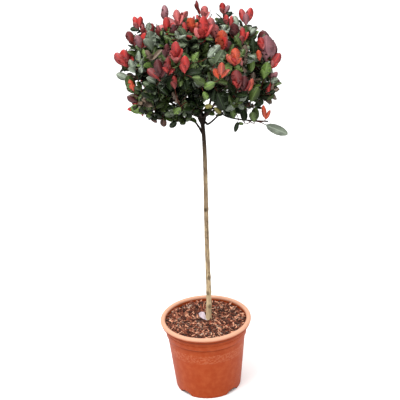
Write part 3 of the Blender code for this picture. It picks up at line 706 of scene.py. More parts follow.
class PotSettings(PropertyGroup):
    """Sizes and colours of the pot."""

    height: distance("Height", "From the floor to the top of the rim", POT_HIGH.z)
    rim_radius: distance("Rim Radius", "From the middle to the outside of the rolled rim", POT_HIGH.x)
    sides: IntProperty(name="Sides", description="Flat sides round the pot", default=144, min=32)
    colour: tint("Colour", "The moulded plastic", (0.345, 0.044, 0.003))
    worn_colour: tint("Worn Colour", "The plastic where it is rubbed or dusty", (0.42, 0.080, 0.018))
    # The rim colour is a painted highlight on the top of the rim.
    rim_highlight_colour: tint("Rim Colour", "The faded top of the rim", (0.64, 0.355, 0.235))


class CompostSettings(PropertyGroup):
    """Sizes and colours of the compost and its chips."""

    chip_length: distance("Chip Length", "Length of a middling chip", 0.0145)
    earth: tint("Earth", "The fine compost under the chips", (0.050, 0.020, 0.013))
    dark_bark: tint("Dark Bark", "The dampest chips", (0.036, 0.012, 0.008))
    red_bark: tint("Red Bark", "Most of the chips", (0.30, 0.080, 0.040))
    tan_bark: tint("Tan Bark", "Chips that show fresh wood", (0.82, 0.44, 0.275))
    grey_bark: tint("Grey Bark", "Weathered chips", (0.46, 0.32, 0.24))
    pale_wood: tint("Pale Wood", "The chip beside the trunk", (0.60, 0.49, 0.54))


class WoodSettings(PropertyGroup):
    """Sizes and colours of the trunk, boughs and twigs."""

    trunk_radius: distance("Trunk Radius", "Above the flare at the foot", 0.0067)
    trunk_top_radius: distance("Trunk Top Radius", "Below the knot", 0.0048)
    twig_length: distance("Twig Length", "Length of a twig at the foot of its stem", 0.101)
    shoot_length: distance("Shoot Length", "Length of a middling side shoot", 0.034)
    pale_bark: tint("Pale Bark", "The lower trunk", (0.54, 0.42, 0.25))
    grey_bark: tint("Grey Bark", "Weathered streaks on the trunk", (0.24, 0.170, 0.105))
    dark_bark: tint("Dark Bark", "The knot and the boughs", (0.022, 0.014, 0.011))
    twig_bark: tint("Twig Bark", "The twigs and shoots", (0.062, 0.028, 0.018))
    young_bark: tint("Young Bark", "The shoots that bear young leaves", (0.085, 0.024, 0.016))


class LeafSettings(PropertyGroup):
    """Sizes and colours of the leaves."""

    length: distance("Length", "Length of a middling old leaf", 0.041)
    young_length: distance("Young Length", "Length of a middling young leaf", 0.035)
    spacing: distance("Spacing", "Between old leaves along a shoot", 0.0052)
    dark: tint("Dark Green", "Most old leaves", (0.010, 0.019, 0.005))
    mid: tint("Green", "Old leaves in better light", (0.060, 0.092, 0.022))
    # Grey green is a grey-green leaf colour, made paler with painted sheen.
    blue: tint("Grey Green", "Old leaves with a bloom", (0.085, 0.115, 0.060))
    # Silver green is a pale base colour that paints the sky's reflection on glossy old leaves.
    silver: tint("Silver Green", "Old leaves that catch the sky", (0.215, 0.255, 0.190))
    fresh: tint("Fresh Green", "Leaves that have just turned green", (0.112, 0.185, 0.034))
    olive: tint("Olive", "Leaves on the turn", (0.200, 0.180, 0.036))
    bronze: tint("Bronze", "Leaves between red and green", (0.150, 0.105, 0.074))
    brown: tint("Brown", "Old leaves about to fall", (0.075, 0.030, 0.018))
    red: tint("Red", "Young leaves", (0.455, 0.032, 0.027))
    orange: tint("Orange Red", "Younger leaves", (0.530, 0.074, 0.030))
    deep: tint("Deep Red", "Young leaves in shade", (0.200, 0.017, 0.014))
    maroon: tint("Maroon", "Leaves that begin to darken", (0.095, 0.018, 0.019))
    # Coral is pink red, partly a painted highlight on the brightest young leaves.
    coral: tint("Coral", "The newest leaves", (0.550, 0.140, 0.135))
    # Mauve is maroon made paler and pinker with painted sheen.
    mauve: tint("Mauve", "Darkening leaves with a bloom", (0.280, 0.110, 0.125))


class StudioSettings(PropertyGroup):
    """The light and the floor."""

    ceiling: power("Ceiling", "Even light from above", 2500)
    overhead: power("Overhead Light", "Soft light from above the left front", 52)
    sky: FloatProperty(name="Sky", description="Even light from all round", default=0.34, min=0)
    floor: tint("Floor", "The pale floor", (0.96, 0.96, 0.96))


class ShrubSettings(PropertyGroup):
    """All settings of the shrub."""

    pot: PointerProperty(type=PotSettings)
    compost: PointerProperty(type=CompostSettings)
    wood: PointerProperty(type=WoodSettings)
    leaf: PointerProperty(type=LeafSettings)
    studio: PointerProperty(type=StudioSettings)


def settings():
    return bpy.context.scene.potted_shrub


# Node trees.


class Graph:
    """Adds nodes to a tree. An input that is given a socket is linked to it, and any other is set."""

    def __init__(self, tree):
        self.tree = tree

    def add(self, kind, inputs=None, **choices):
        node = self.tree.nodes.new(kind)
        for name, value in choices.items():
            setattr(node, name, value)
        for key, value in (inputs or {}).items():
            if isinstance(value, bpy.types.NodeSocket):
                self.link(value, node.inputs[key])
            else:
                node.inputs[key].default_value = value
        return node

    def math(self, operation, first, second=0.5):
        return self.add("ShaderNodeMath", {0: first, 1: second}, operation=operation).outputs[0]

    def times(self, first, second):
        return self.math("MULTIPLY", first, second)

    def minus(self, first, second):
        return self.math("SUBTRACT", first, second)

    def vector(self, operation, *values):
        """A vector, or the number that LENGTH and DISTANCE give."""
        node = self.add("ShaderNodeVectorMath", dict(enumerate(values)), operation=operation)
        return node.outputs["Value" if operation in ("LENGTH", "DISTANCE") else "Vector"]

    def combine(self, *values):
        return self.add("ShaderNodeCombineXYZ", dict(enumerate(values))).outputs[0]

    def place(self):
        """The place on the object."""
        return self.add("ShaderNodeTexCoord").outputs["Object"]

    def cloud(self, place, scale, detail):
        inputs = {"Vector": place, "Scale": scale, "Detail": detail}
        return self.add("ShaderNodeTexNoise", inputs).outputs[0]

    def link(self, socket, target):
        self.tree.links.new(socket, target)

    def read(self, name, kind):
        """A value that the mesh holds under a name."""
        node = self.add("GeometryNodeInputNamedAttribute", {"Name": name}, data_type=kind)
        return node.outputs["Attribute"]

    def members_on(self, points, collection, inputs):
        """A member of a collection on each point, as real geometry."""
        inside = {"Collection": collection, "Separate Children": True, "Reset Children": True}
        members = self.add("GeometryNodeCollectionInfo", inside).outputs[0]
        inputs = {"Points": points, "Instance": members, "Pick Instance": True, **inputs}
        return self.real(self.add("GeometryNodeInstanceOnPoints", inputs).outputs[0])

    def real(self, geometry):
        return self.add("GeometryNodeRealizeInstances", {0: geometry}).outputs[0]

    def coloured(self, geometry, finish, **choice):
        """Geometry with a material, on all of it or on a selection."""
        inputs = {"Geometry": geometry, "Material": finish, **choice}
        return self.add("GeometryNodeSetMaterial", inputs).outputs[0]

    def mix(self, share, first, second):
        """A colour between two, by a share."""
        node = self.add("ShaderNodeMix", {0: share, 6: first, 7: second}, data_type="RGBA")
        return node.outputs[2]

    def ramp(self, value, low, high, first=0.0, last=1.0):
        """A value that goes from first to last while another goes from low to high."""
        inputs = {"Value": value, "From Min": low, "From Max": high, "To Min": first, "To Max": last}
        return self.add("ShaderNodeMapRange", inputs).outputs["Result"]


def new_group(name, kind, inputs, outputs):
    """A node group with named sockets, ready to be filled."""
    tree = bpy.data.node_groups.new(name, kind)
    for label, socket, value in inputs:
        made = tree.interface.new_socket(label, in_out="INPUT", socket_type=socket)
        if value is not None:
            made.default_value = value
    for label, socket in outputs:
        tree.interface.new_socket(label, in_out="OUTPUT", socket_type=socket)
    graph = Graph(tree)
    return graph, graph.add("NodeGroupInput").outputs, graph.add("NodeGroupOutput").inputs


def new_tree(name, *inputs):
    """A geometry tree, with further inputs beside its geometry."""
    geometry = ("Geometry", SHAPE)
    return new_group(name, "GeometryNodeTree", ((*geometry, None), *inputs), (geometry,))


COLOUR = "NodeSocketColor"
NUMBER = "NodeSocketFloat"
VECTOR = "NodeSocketVector"
SHAPE = "NodeSocketGeometry"
GROUP = "NodeSocketCollection"
LOOK = "NodeSocketMaterial"


@lru_cache(maxsize=None)
def mottle_group():
    """Two colours mixed in soft patches, which may be drawn out along an axis."""
    inputs = (
        ("Colour", COLOUR, (0.5, 0.5, 0.5, 1)),
        ("Patch Colour", COLOUR, (0.2, 0.2, 0.2, 1)),
        ("Scale", NUMBER, 30.0),
        ("Stretch", VECTOR, (1, 1, 1)),
        ("Cover", NUMBER, 0.5),
        ("Softness", NUMBER, 0.15),
    )
    graph, given, made = new_group("Mottle", "ShaderNodeTree", inputs, (("Colour", COLOUR),))
    place = graph.add("ShaderNodeMapping", {"Vector": graph.place(), "Scale": given["Stretch"]}).outputs[0]
    cloud = graph.cloud(place, given["Scale"], 5.0)
    edge = graph.minus(1.0, given["Cover"])
    low = graph.minus(edge, given["Softness"])
    high = graph.math("ADD", edge, given["Softness"])
    mask = graph.ramp(cloud, low, high)
    graph.link(graph.mix(mask, given["Colour"], given["Patch Colour"]), made["Colour"])
    return graph.tree


@lru_cache(maxsize=None)
def grain_group():
    """Fine relief, with a roughness that follows it."""
    inputs = (
        ("Scale", NUMBER, 300.0),
        ("Stretch", VECTOR, (1, 1, 1)),
        ("Smoothest", NUMBER, 0.4),
        ("Roughest", NUMBER, 0.6),
    )
    outputs = (("Height", NUMBER), ("Roughness", NUMBER))
    graph, given, made = new_group("Grain", "ShaderNodeTree", inputs, outputs)
    place = graph.add("ShaderNodeMapping", {"Vector": graph.place(), "Scale": given["Stretch"]}).outputs[0]
    cloud = graph.cloud(place, given["Scale"], 6.0)
    graph.link(cloud, made["Height"])
    graph.link(graph.ramp(cloud, 0.3, 0.7, given["Smoothest"], given["Roughest"]), made["Roughness"])
    return graph.tree


@lru_cache(maxsize=None)
def blade_group():
    """The surface of a leaf: a pale midrib, side veins as shallow furrows, and uneven colour."""
    inputs = (
        ("Colour", COLOUR, (0.05, 0.1, 0.03, 1)),
        ("Rib Colour", COLOUR, (0.2, 0.3, 0.1, 1)),
        ("Shade Colour", COLOUR, (0.03, 0.06, 0.02, 1)),
        ("Smoothest", NUMBER, 0.3),
        ("Roughest", NUMBER, 0.5),
    )
    outputs = (("Colour", COLOUR), ("Height", NUMBER), ("Roughness", NUMBER))
    graph, given, made = new_group("Leaf Blade", "ShaderNodeTree", inputs, outputs)
    blade = graph.add("ShaderNodeSeparateXYZ", {0: graph.add("ShaderNodeUVMap").outputs[0]}).outputs
    aside = graph.math("ABSOLUTE", graph.minus(blade[0], 0.5))
    rib = graph.ramp(aside, *RIB_EDGES, 1.0, 0.0)
    along = graph.minus(blade[1], graph.times(aside, VEIN_SLANT))
    furrow = graph.math("ABSOLUTE", graph.math("SINE", graph.times(along, VEIN_COUNT)))
    vein = graph.math("POWER", furrow, VEIN_SHARPNESS)
    cloud = graph.cloud(graph.place(), PATCH_SCALE, 3.0)
    body = graph.mix(graph.ramp(cloud, *PATCH_EDGES), given["Colour"], given["Shade Colour"])
    graph.link(graph.mix(rib, body, given["Rib Colour"]), made["Colour"])
    graph.link(graph.minus(vein, graph.times(rib, RIB_DEPTH)), made["Height"])
    graph.link(graph.ramp(cloud, *GLOSS_EDGES, given["Smoothest"], given["Roughest"]), made["Roughness"])
    return graph.tree


@lru_cache(maxsize=None)
def spot_group():
    """A soft round spot at a place on a piece."""
    inputs = (("Place", VECTOR, (0, 0, 0)), ("Radius", NUMBER, 0.004), ("Squash", VECTOR, (1, 1, 1)))
    graph, given, made = new_group("Spot", "ShaderNodeTree", inputs, (("Mask", NUMBER),))
    offset = graph.vector("SUBTRACT", graph.place(), given["Place"])
    away = graph.vector("LENGTH", graph.vector("MULTIPLY", offset, given["Squash"]))
    inner = graph.times(given["Radius"], 0.5)
    graph.link(graph.ramp(away, inner, given["Radius"], 1.0, 0.0), made["Mask"])
    return graph.tree


class Finish:
    """A material under way: its graph, its shader, and short ways to use the shared groups."""

    def __init__(self, name, roughness=0.5, coat=0.0, coat_roughness=0.1, specular=0.5):
        self.material = bpy.data.materials.new(name)
        self.material.use_nodes = True
        self.graph = Graph(self.material.node_tree)
        self.shader = self.material.node_tree.nodes["Principled BSDF"]
        self.shader.inputs["Roughness"].default_value = roughness
        self.shader.inputs["Coat Weight"].default_value = coat
        self.shader.inputs["Coat Roughness"].default_value = coat_roughness
        self.shader.inputs["Specular IOR Level"].default_value = specular

    def use(self, group, **inputs):
        """The outputs of a shared group. Its inputs are named as here, but with capitals and spaces."""
        named = {name.replace("_", " ").title(): value for name, value in inputs.items()}
        return self.graph.add("ShaderNodeGroup", named, node_tree=group).outputs

    def feed(self, name, socket):
        self.graph.link(socket, self.shader.inputs[name])

    def bump(self, height, strength, depth):
        node = self.graph.add("ShaderNodeBump", {"Height": height, "Strength": strength, "Distance": depth})
        self.feed("Normal", node.outputs[0])

    def mottle(self, colour, patch, **inputs):
        """Two colours in patches, or a colour over what is mixed already."""
        return self.use(mottle_group(), colour=colour, patch_colour=patch, **inputs)["Colour"]

    def grain(self, strength, depth, **inputs):
        """Fine relief and a roughness that follows it."""
        made = self.use(grain_group(), **inputs)
        self.feed("Roughness", made["Roughness"])
        self.bump(made["Height"], strength, depth)

    def height_above(self, low, high):
        """0 below one height on the object and 1 above another."""
        level = self.graph.add("ShaderNodeSeparateXYZ", {0: self.graph.place()}).outputs["Z"]
        return self.graph.ramp(level, low, high)


def rgba(colour, share=1.0):
    """A colour with its alpha, made darker or lighter by a share."""
    return (*(min(value * share, 1.0) for value in colour), 1.0)


def plastic_finish():
    """Moulded terracotta plastic, dusty in patches, with a painted highlight on the rim's top and a faint
    figure in low relief.
    """
    pot = settings().pot
    made = Finish("terracotta_plastic", specular=0.16)
    graph = made.graph
    colour = made.mottle(rgba(pot.colour), rgba(pot.colour, 0.9), scale=9.0, softness=0.25)
    colour = made.mottle(colour, rgba(pot.worn_colour), scale=70.0, cover=0.32, softness=0.25)
    place = graph.place()
    cells = graph.add("ShaderNodeTexVoronoi", {"Vector": place, "Scale": FIGURE_SCALE}, feature="SMOOTH_F1")
    band = graph.minus(made.height_above(*FIGURE_BOTTOM), made.height_above(*FIGURE_TOP))
    figure = graph.times(cells.outputs["Distance"], band)
    colour = graph.mix(graph.ramp(figure, *FIGURE_RANGE, 0.0, FIGURE_SHARE), colour, FIGURE_COLOUR)
    away = graph.vector("LENGTH", graph.vector("MULTIPLY", place, (1, 1, 0)))
    # Bands of painted shade at the groove, a step of the collar and under the rim.
    for level, half, share, least in POT_SHADE_LINES:
        rising = made.height_above(level - half, level)
        falling = made.height_above(level, level + half)
        outside = graph.ramp(away, least - LINE_FADE, least, 0.0, share)
        line = graph.times(graph.minus(rising, falling), outside)
        colour = graph.mix(line, colour, rgba(pot.colour, LINE_SHADE))
    # The top of the rim is lightened towards the rim colour: a painted highlight.
    highlighted = graph.times(made.height_above(*RIM_HIGHLIGHT), RIM_HIGHLIGHT_SHARE)
    made.feed("Base Color", graph.mix(highlighted, colour, rgba(pot.rim_highlight_colour)))
    grain = made.use(grain_group(), scale=420.0, smoothest=0.42, roughest=0.60)
    made.feed("Roughness", grain["Roughness"])
    raised = graph.times(figure, FIGURE_RELIEF)
    fine = graph.times(grain["Height"], PLASTIC_GRAIN)
    made.bump(graph.math("ADD", raised, fine), strength=0.30, depth=0.0006)
    return made.material


def bark_chip_finish(name, colour, patch):
    """Shredded bark: streaks of a second colour and a coarse fibrous grain."""
    made = Finish(name, specular=0.25)
    made.feed("Base Color", made.mottle(rgba(colour), rgba(patch), scale=160.0, cover=0.5, softness=0.12))
    made.grain(strength=0.5, depth=0.0008, scale=700.0, stretch=(1, 0.25, 1), smoothest=0.7, roughest=0.95)
    return made.material


def pale_chip_finish():
    """Weathered wood, streaked along the grain."""
    made = Finish("weathered_wood", specular=0.3)
    pale = settings().compost.pale_wood
    along = (1, 0.2, 1)
    streaks = made.mottle(rgba(pale), rgba(pale, 0.65), scale=220.0, stretch=along, softness=0.16)
    made.feed("Base Color", streaks)
    made.grain(strength=0.4, depth=0.0005, scale=600.0, stretch=along, smoothest=0.6, roughest=0.9)
    return made.material


def trunk_finish():
    """Pale bark with grey streaks and blotches, dark round the old scars and up to the knot."""
    wood = settings().wood
    made = Finish("trunk_bark", specular=0.06)
    graph = made.graph
    drawn = (1, 1, WOOD_DRAWN)
    pale, grey = rgba(wood.pale_bark), rgba(wood.grey_bark)
    bark = made.mottle(pale, grey, scale=240.0, stretch=drawn, cover=0.56, softness=0.12)
    blotch = rgba(wood.grey_bark, 0.5)
    bark = made.mottle(bark, blotch, scale=150.0, stretch=(1, 1, 0.5), cover=0.40, softness=0.05)
    colour = graph.mix(made.height_above(*PALE_FOOT), rgba(wood.pale_bark, FOOT_LIGHT), bark)
    colour = graph.mix(FOOT_MOTTLE, colour, bark)
    for low, high, share, name, shade in TRUNK_LAYERS:
        cover = graph.times(made.height_above(low, high), share)
        colour = graph.mix(cover, colour, rgba(getattr(wood, name), shade))
    curve = trunk_curve()
    for share, side in zip(SCAR_SHARES, SCAR_SIDES):
        place = curve.at(share * curve.length) + Vector((side, SCAR_FRONT, 0))
        spot = made.use(spot_group(), place=place, radius=SCAR_SPOT, squash=(1, 1, 0.75))
        cover = graph.times(spot["Mask"], SCAR_SHARE)
        colour = graph.mix(cover, colour, rgba(wood.dark_bark, 0.8))
    made.feed("Base Color", colour)
    made.grain(strength=0.6, depth=0.001, scale=520.0, stretch=drawn, smoothest=0.6, roughest=0.9)
    return made.material


def wood_finish(name, colour):
    """The bark of boughs, twigs and shoots."""
    made = Finish(name, specular=0.04)
    dark = rgba(colour, 0.5)
    made.feed("Base Color", made.mottle(rgba(colour), dark, scale=120.0, stretch=(1, 1, 0.4), softness=0.1))
    made.grain(strength=0.4, depth=0.0004, scale=900.0, smoothest=0.5, roughest=0.8)
    return made.material


def dress_blade(made, colour, rib, shade, gloss, relief):
    """Gives one face of a leaf its colours, gloss and veins."""
    smoothest, roughest = gloss
    blade = made.use(
        blade_group(),
        colour=colour,
        rib_colour=rib,
        shade_colour=shade,
        smoothest=smoothest,
        roughest=roughest,
    )
    made.feed("Base Color", blade["Colour"])
    made.feed("Roughness", blade["Roughness"])
    made.bump(blade["Height"], relief, VEIN_DEPTH)
    return made.material


def leaf_finish(name, colour, young):
    """The glossy upper face and the paler, duller lower face of a leaf, less glossy where it is darker.

    Young leaves have a pinkish painted sheen in patches and old ones are darker there.
    """
    rib = YOUNG_RIB if young else 1 + RIB_GAIN / (1 + RIB_FALL * max(colour))
    sheen = YOUNG_SHEEN if young else min(LEAST_SHEEN + SHEEN_GAIN * max(colour), MOST_SHEEN)
    # In young leaves the patches carry the painted sheen.
    patch = [value * PATCH_SHADE + painted_sheen for value, painted_sheen in zip(colour, PAINTED_SHEEN if young else (0, 0, 0))]
    ribs = [value * rib + RIB_LIGHT for value in colour]
    upper = Finish(name, coat=sheen / 3, coat_roughness=0.16, specular=sheen)
    under = Finish(name + "_under", specular=sheen / 2)
    pale = [value * (UNDER_YOUNG if young else UNDER_OLD) + UNDER_LIGHT for value in colour]
    return (
        dress_blade(upper, rgba(colour), rgba(ribs), rgba(patch), UPPER_GLOSS, relief=0.35),
        dress_blade(under, rgba(pale), rgba(pale, 1.3), rgba(pale, 0.8), UNDER_GLOSS, relief=0.3),
    )


# Meshes.


def put_in(name, content, collection=None):
    """A new object that holds a mesh, a light or a camera."""
    made = bpy.data.objects.new(name, content)
    (collection or bpy.context.scene.collection).objects.link(made)
    return made


def add_object(name, corners, faces, collection=None, edges=()):
    mesh = bpy.data.meshes.new(name)
    mesh.from_pydata(corners, edges, faces)
    return put_in(name, mesh, collection)


def add_values(target, name, kind, domain, values):
    """Stores a value under a name for each point or face of an object's mesh."""
    field = "vector" if kind == "FLOAT_VECTOR" else "value"
    target.data.attributes.new(name, kind, domain).data.foreach_set(field, values)


def add_collection(name):
    made = bpy.data.collections.new(name)
    bpy.context.scene.collection.children.link(made)
    return made


def remove_collection(collection):
    for member in list(collection.objects):
        bpy.data.objects.remove(member)
    bpy.data.collections.remove(collection)


def evaluated_mesh(target):
    """The mesh of an object with its modifiers, which are then taken off it."""
    bpy.context.view_layer.update()
    evaluated = target.evaluated_get(bpy.context.evaluated_depsgraph_get())
    mesh = bpy.data.meshes.new_from_object(evaluated)
    target.modifiers.clear()
    return mesh


def run_tree(target, tree, inputs):
    """Applies a geometry tree to an object. Its inputs are set by the sockets' identifiers."""
    modifier = target.modifiers.new(tree.name, "NODES")
    modifier.node_group = tree
    sockets = {item.name: item.identifier for item in tree.interface.items_tree if item.in_out == "INPUT"}
    for name, value in inputs.items():
        modifier[sockets[name]] = value
    target.data = evaluated_mesh(target)
    if not target.data.polygons:
        raise RuntimeError(f"{target.name} came out empty")
    if target.data.materials[0] is None:
        target.data.materials.pop(index=0)
    return target


def declare(piece, slot, *nodes):
    """Puts a finished piece in the frame."""
    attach(piece, BODY)
    if nodes:
        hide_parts(*nodes)


def skin(rings):
    """A closed shape over rings of equal count, each ring running anticlockwise about the way ahead."""
    count = len(rings[0])
    corners = [corner for ring in rings for corner in ring]
    faces = []
    for i in range(len(rings) - 1):
        for k in range(count):
            a = i * count + k
            b = i * count + (k + 1) % count
            faces.append((a, b, b + count))
            faces.append((a, b + count, a + count))
    first = (len(rings) - 1) * count
    faces.append(tuple(reversed(range(count))))
    faces.append(tuple(range(first, first + count)))
    return corners, faces


def square_to(direction, hint):
    """The unit vector nearest the hint that is square to a direction."""
    return (hint - direction * hint.dot(direction)).normalized()


def tube(stations, radii, sides):
    """A closed tube with flat ends round a line of places and directions."""
    across = square_to(stations[0][1], FIRST_SIDE)
    rings = []
    for (place, ahead), radius in zip(stations, radii):
        across = square_to(ahead, across)
        beside = ahead.cross(across)
        ring = []
        for k in range(sides):
            angle = 2 * math.pi * k / sides
            ring.append(place + (across * math.cos(angle) + beside * math.sin(angle)) * radius)
        rings.append(ring)
    return skin(rings)


def rod(start, end, way, radius, sides):
    """A closed tube of one thickness between two places, its ends square to the way."""
    return tube([(start, way), (end, way)], (radius, radius), sides)


def cleared(radii):
    """Radii with the clearance round wood."""
    return [radius + LIMB_CLEARANCE for radius in radii]


# The pot.


def turned(name, profile, sides):
    """A shape turned about the axis.

    Its section runs out along the bottom, up the outside and back to the axis.
    """
    corners = []
    rings = []
    for radius, height in profile:
        count = sides if radius > 0 else 1
        rings.append([len(corners) + k % count for k in range(sides)])
        for k in range(count):
            angle = 2 * math.pi * k / sides
            corners.append((radius * math.cos(angle), radius * math.sin(angle), height))
    faces = []
    for low, high in zip(rings, rings[1:]):
        for k in range(sides):
            faces.append(tuple(dict.fromkeys((low[k - 1], low[k], high[k], high[k - 1]))))
    return add_object(name, corners, faces)


def outer_radius(height):
    """The outside of the pot's tapering wall, below its collar."""
    return BASE_RADIUS + (WALL_RADIUS - BASE_RADIUS) * height / COLLAR_BOTTOM


def arc(middle, radius, start, end, steps):
    """Points round part of a circle or an ellipse, from one angle in degrees to another."""
    wide, tall = radius
    points = []
    for i in range(steps + 1):
        angle = math.radians(start + (end - start) * i / steps)
        points.append((middle[0] + wide * math.cos(angle), middle[1] + tall * math.sin(angle)))
    return points


def pot_profile(height, rim_radius):
    """The pot's section: foot, wall, groove, collar, the rolled rim and its hollow, and the inside."""
    rim_half = (RIM_WIDTH / 2, RIM_HEIGHT * RIM_MIDDLE)
    rim_bottom = height - RIM_HEIGHT
    skirt = BASE_RADIUS - BASE_ROUND / 3
    round_half = (outer_radius(BASE_ROUND) - skirt + BASE_INSET, BASE_ROUND)
    wall_top = COLLAR_BOTTOM - GROOVE_HALF * 2
    levels = [wall_top * i / WALL_RINGS for i in range(2, WALL_RINGS + 1)]
    groove_in, groove_down = GROOVE_LIP
    return [
        (0, 0),
        (PAD_RADIUS, 0),
        (PAD_RADIUS + FOOT_DRAFT, FOOT_HEIGHT),
        (outer_radius(FOOT_HEIGHT) - WALL, FOOT_HEIGHT),
        (skirt - WALL, 0),
        (skirt - BASE_EDGE, 0),
        *arc((skirt - BASE_INSET, BASE_ROUND), round_half, *BASE_ARC),
        *((outer_radius(level), level) for level in levels),
        (outer_radius(wall_top) - GROOVE_DEPTH, COLLAR_BOTTOM - GROOVE_HALF),
        (outer_radius(wall_top) - GROOVE_DEPTH * groove_in, COLLAR_BOTTOM - GROOVE_HALF * groove_down),
        *((COLLAR_RADIUS + out, COLLAR_BOTTOM + up) for out, up in COLLAR_STEPS),
        (rim_radius - RIM_WIDTH + WALL, rim_bottom + RIM_HOLLOW[0]),
        (rim_radius - WALL, rim_bottom + RIM_HOLLOW[1]),
        *arc((rim_radius - rim_half[0], height - rim_half[1]), rim_half, *RIM_ARC),
        (rim_radius - RIM_WIDTH, rim_bottom),
        (COLLAR_RADIUS - WALL, COLLAR_BOTTOM + COLLAR_INSIDE),
        (WALL_RADIUS - WALL, COLLAR_BOTTOM),
        (outer_radius(FOOT_HEIGHT + WALL) - WALL, FOOT_HEIGHT + WALL),
        (PAD_RADIUS + FOOT_DRAFT - WALL, FOOT_HEIGHT + WALL),
        (PAD_RADIUS - WALL, WALL),
        (0, WALL),
    ]


def arch(width, height, segments):
    """The outline of a round-headed notch that goes on below the ground."""
    outline = [(-width / 2, -height), (width / 2, -height)]
    for i in range(segments + 1):
        angle = math.pi * i / segments
        outline.append((width / 2 * math.cos(angle), height * math.sin(angle)))
    return outline


def pot_cutters():
    """The arched notches of the foot and the drain holes of the base."""
    cutters = add_collection("pot_cutters")
    for k in range(NOTCH_COUNT):
        angle = 2 * math.pi * (k + 0.5) / NOTCH_COUNT
        out = Vector((math.cos(angle), math.sin(angle), 0))
        side = Vector((-out.y, out.x, 0))
        rings = []
        for radius in (BASE_RADIUS - CUTTER_REACH * 2, BASE_RADIUS + CUTTER_REACH):
            outline = arch(NOTCH_WIDTH, NOTCH_HEIGHT, NOTCH_SEGMENTS)
            rings.append([out * radius + side * x + UP * z for x, z in outline])
        add_object(f"notch_{k}", *skin(rings), cutters)
        low = out * DRAIN_RING + UP * (FOOT_HEIGHT - CUTTER_REACH)
        high = out * DRAIN_RING + UP * (FOOT_HEIGHT + WALL + CUTTER_REACH)
        add_object(f"drain_{k}", *rod(low, high, UP, DRAIN_RADIUS, DRAIN_SIDES), cutters)
    return cutters


def build_pot():
    """The pot with its notches and drain holes."""
    sizes = settings().pot
    pot = turned("pot_shell", pot_profile(sizes.height, sizes.rim_radius), sizes.sides)
    cutters = pot_cutters()
    modifier = pot.modifiers.new("Cut", "BOOLEAN")
    modifier.operation = "DIFFERENCE"
    modifier.operand_type = "COLLECTION"
    modifier.collection = cutters
    modifier.solver = "EXACT"
    pot.data = evaluated_mesh(pot)
    remove_collection(cutters)
    pot.data.materials.clear()
    pot.data.materials.append(plastic_finish())
    pot.data.shade_smooth()
    pot.data.set_sharp_from_angle(angle=SHARP_EDGE)
    declare(pot, "pot_plastic", "pot")


# The compost.


def compost_height(x, y):
    """The surface of the compost, level where the trunk stands."""
    away = math.hypot(x - FOOT.x, y - FOOT.y)
    share = min(max((away - LEVEL_RADIUS) / LEVEL_RADIUS, 0), 1)
    return COMPOST_LEVEL + COMPOST_RELIEF * share * noise.noise(Vector((x, y, 0)) * COMPOST_LUMPS)


def level_disc(radius, rings):
    """The section of a level disc at the top of the compost, from its edge to the axis."""
    return [(radius * (1 - i / rings), COMPOST_LEVEL) for i in range(rings + 1)]


def build_compost():
    """The compost's body, with a fine crumbly top."""
    profile = [
        (0, COMPOST_FLOOR),
        (outer_radius(COMPOST_FLOOR) - COMPOST_GAP, COMPOST_FLOOR),
        (WALL_RADIUS - COMPOST_GAP, COLLAR_BOTTOM),
        *level_disc(COMPOST_RADIUS, COMPOST_RINGS),
    ]
    compost = turned("compost_bed", profile, COMPOST_SIDES)
    for vertex in compost.data.vertices:
        if vertex.co.z > COMPOST_LEVEL - TOP_MARGIN:
            x, y = vertex.co.x, vertex.co.y
            crumbs = [noise.noise(Vector((x, y, k)) * fine) * rise for k, (fine, rise) in enumerate(CRUMBS)]
            vertex.co.z = compost_height(x, y) + sum(crumbs)
    earth = settings().compost.earth
    finish = bark_chip_finish("fine_compost", earth, [value * EARTH_PATCHES for value in earth])
    compost.data.materials.append(finish)
    compost.data.shade_smooth()
    declare(compost, "compost", "compost")


def chip_collection():
    """A few forms of bark chip, one unit long: ragged, a little bent, and thicker at one end."""
    chips = add_collection("bark_chips")
    for index, outline in enumerate(BARK_OUTLINES):
        bend = BARK_BEND * (-1) ** index
        rings = []
        for layer in (0, 1):
            ring = []
            for x, y in outline:
                thick = BARK_THICKNESS + BARK_THICKNESS * (x + 0.5)
                narrow = y * (1 - BARK_NARROWING * layer)
                ring.append(Vector((x, narrow, bend * (1 - 4 * x * x) + layer * thick)))
            rings.append(ring)
        add_object(f"chip_{index}", *skin(rings), chips)
    return chips


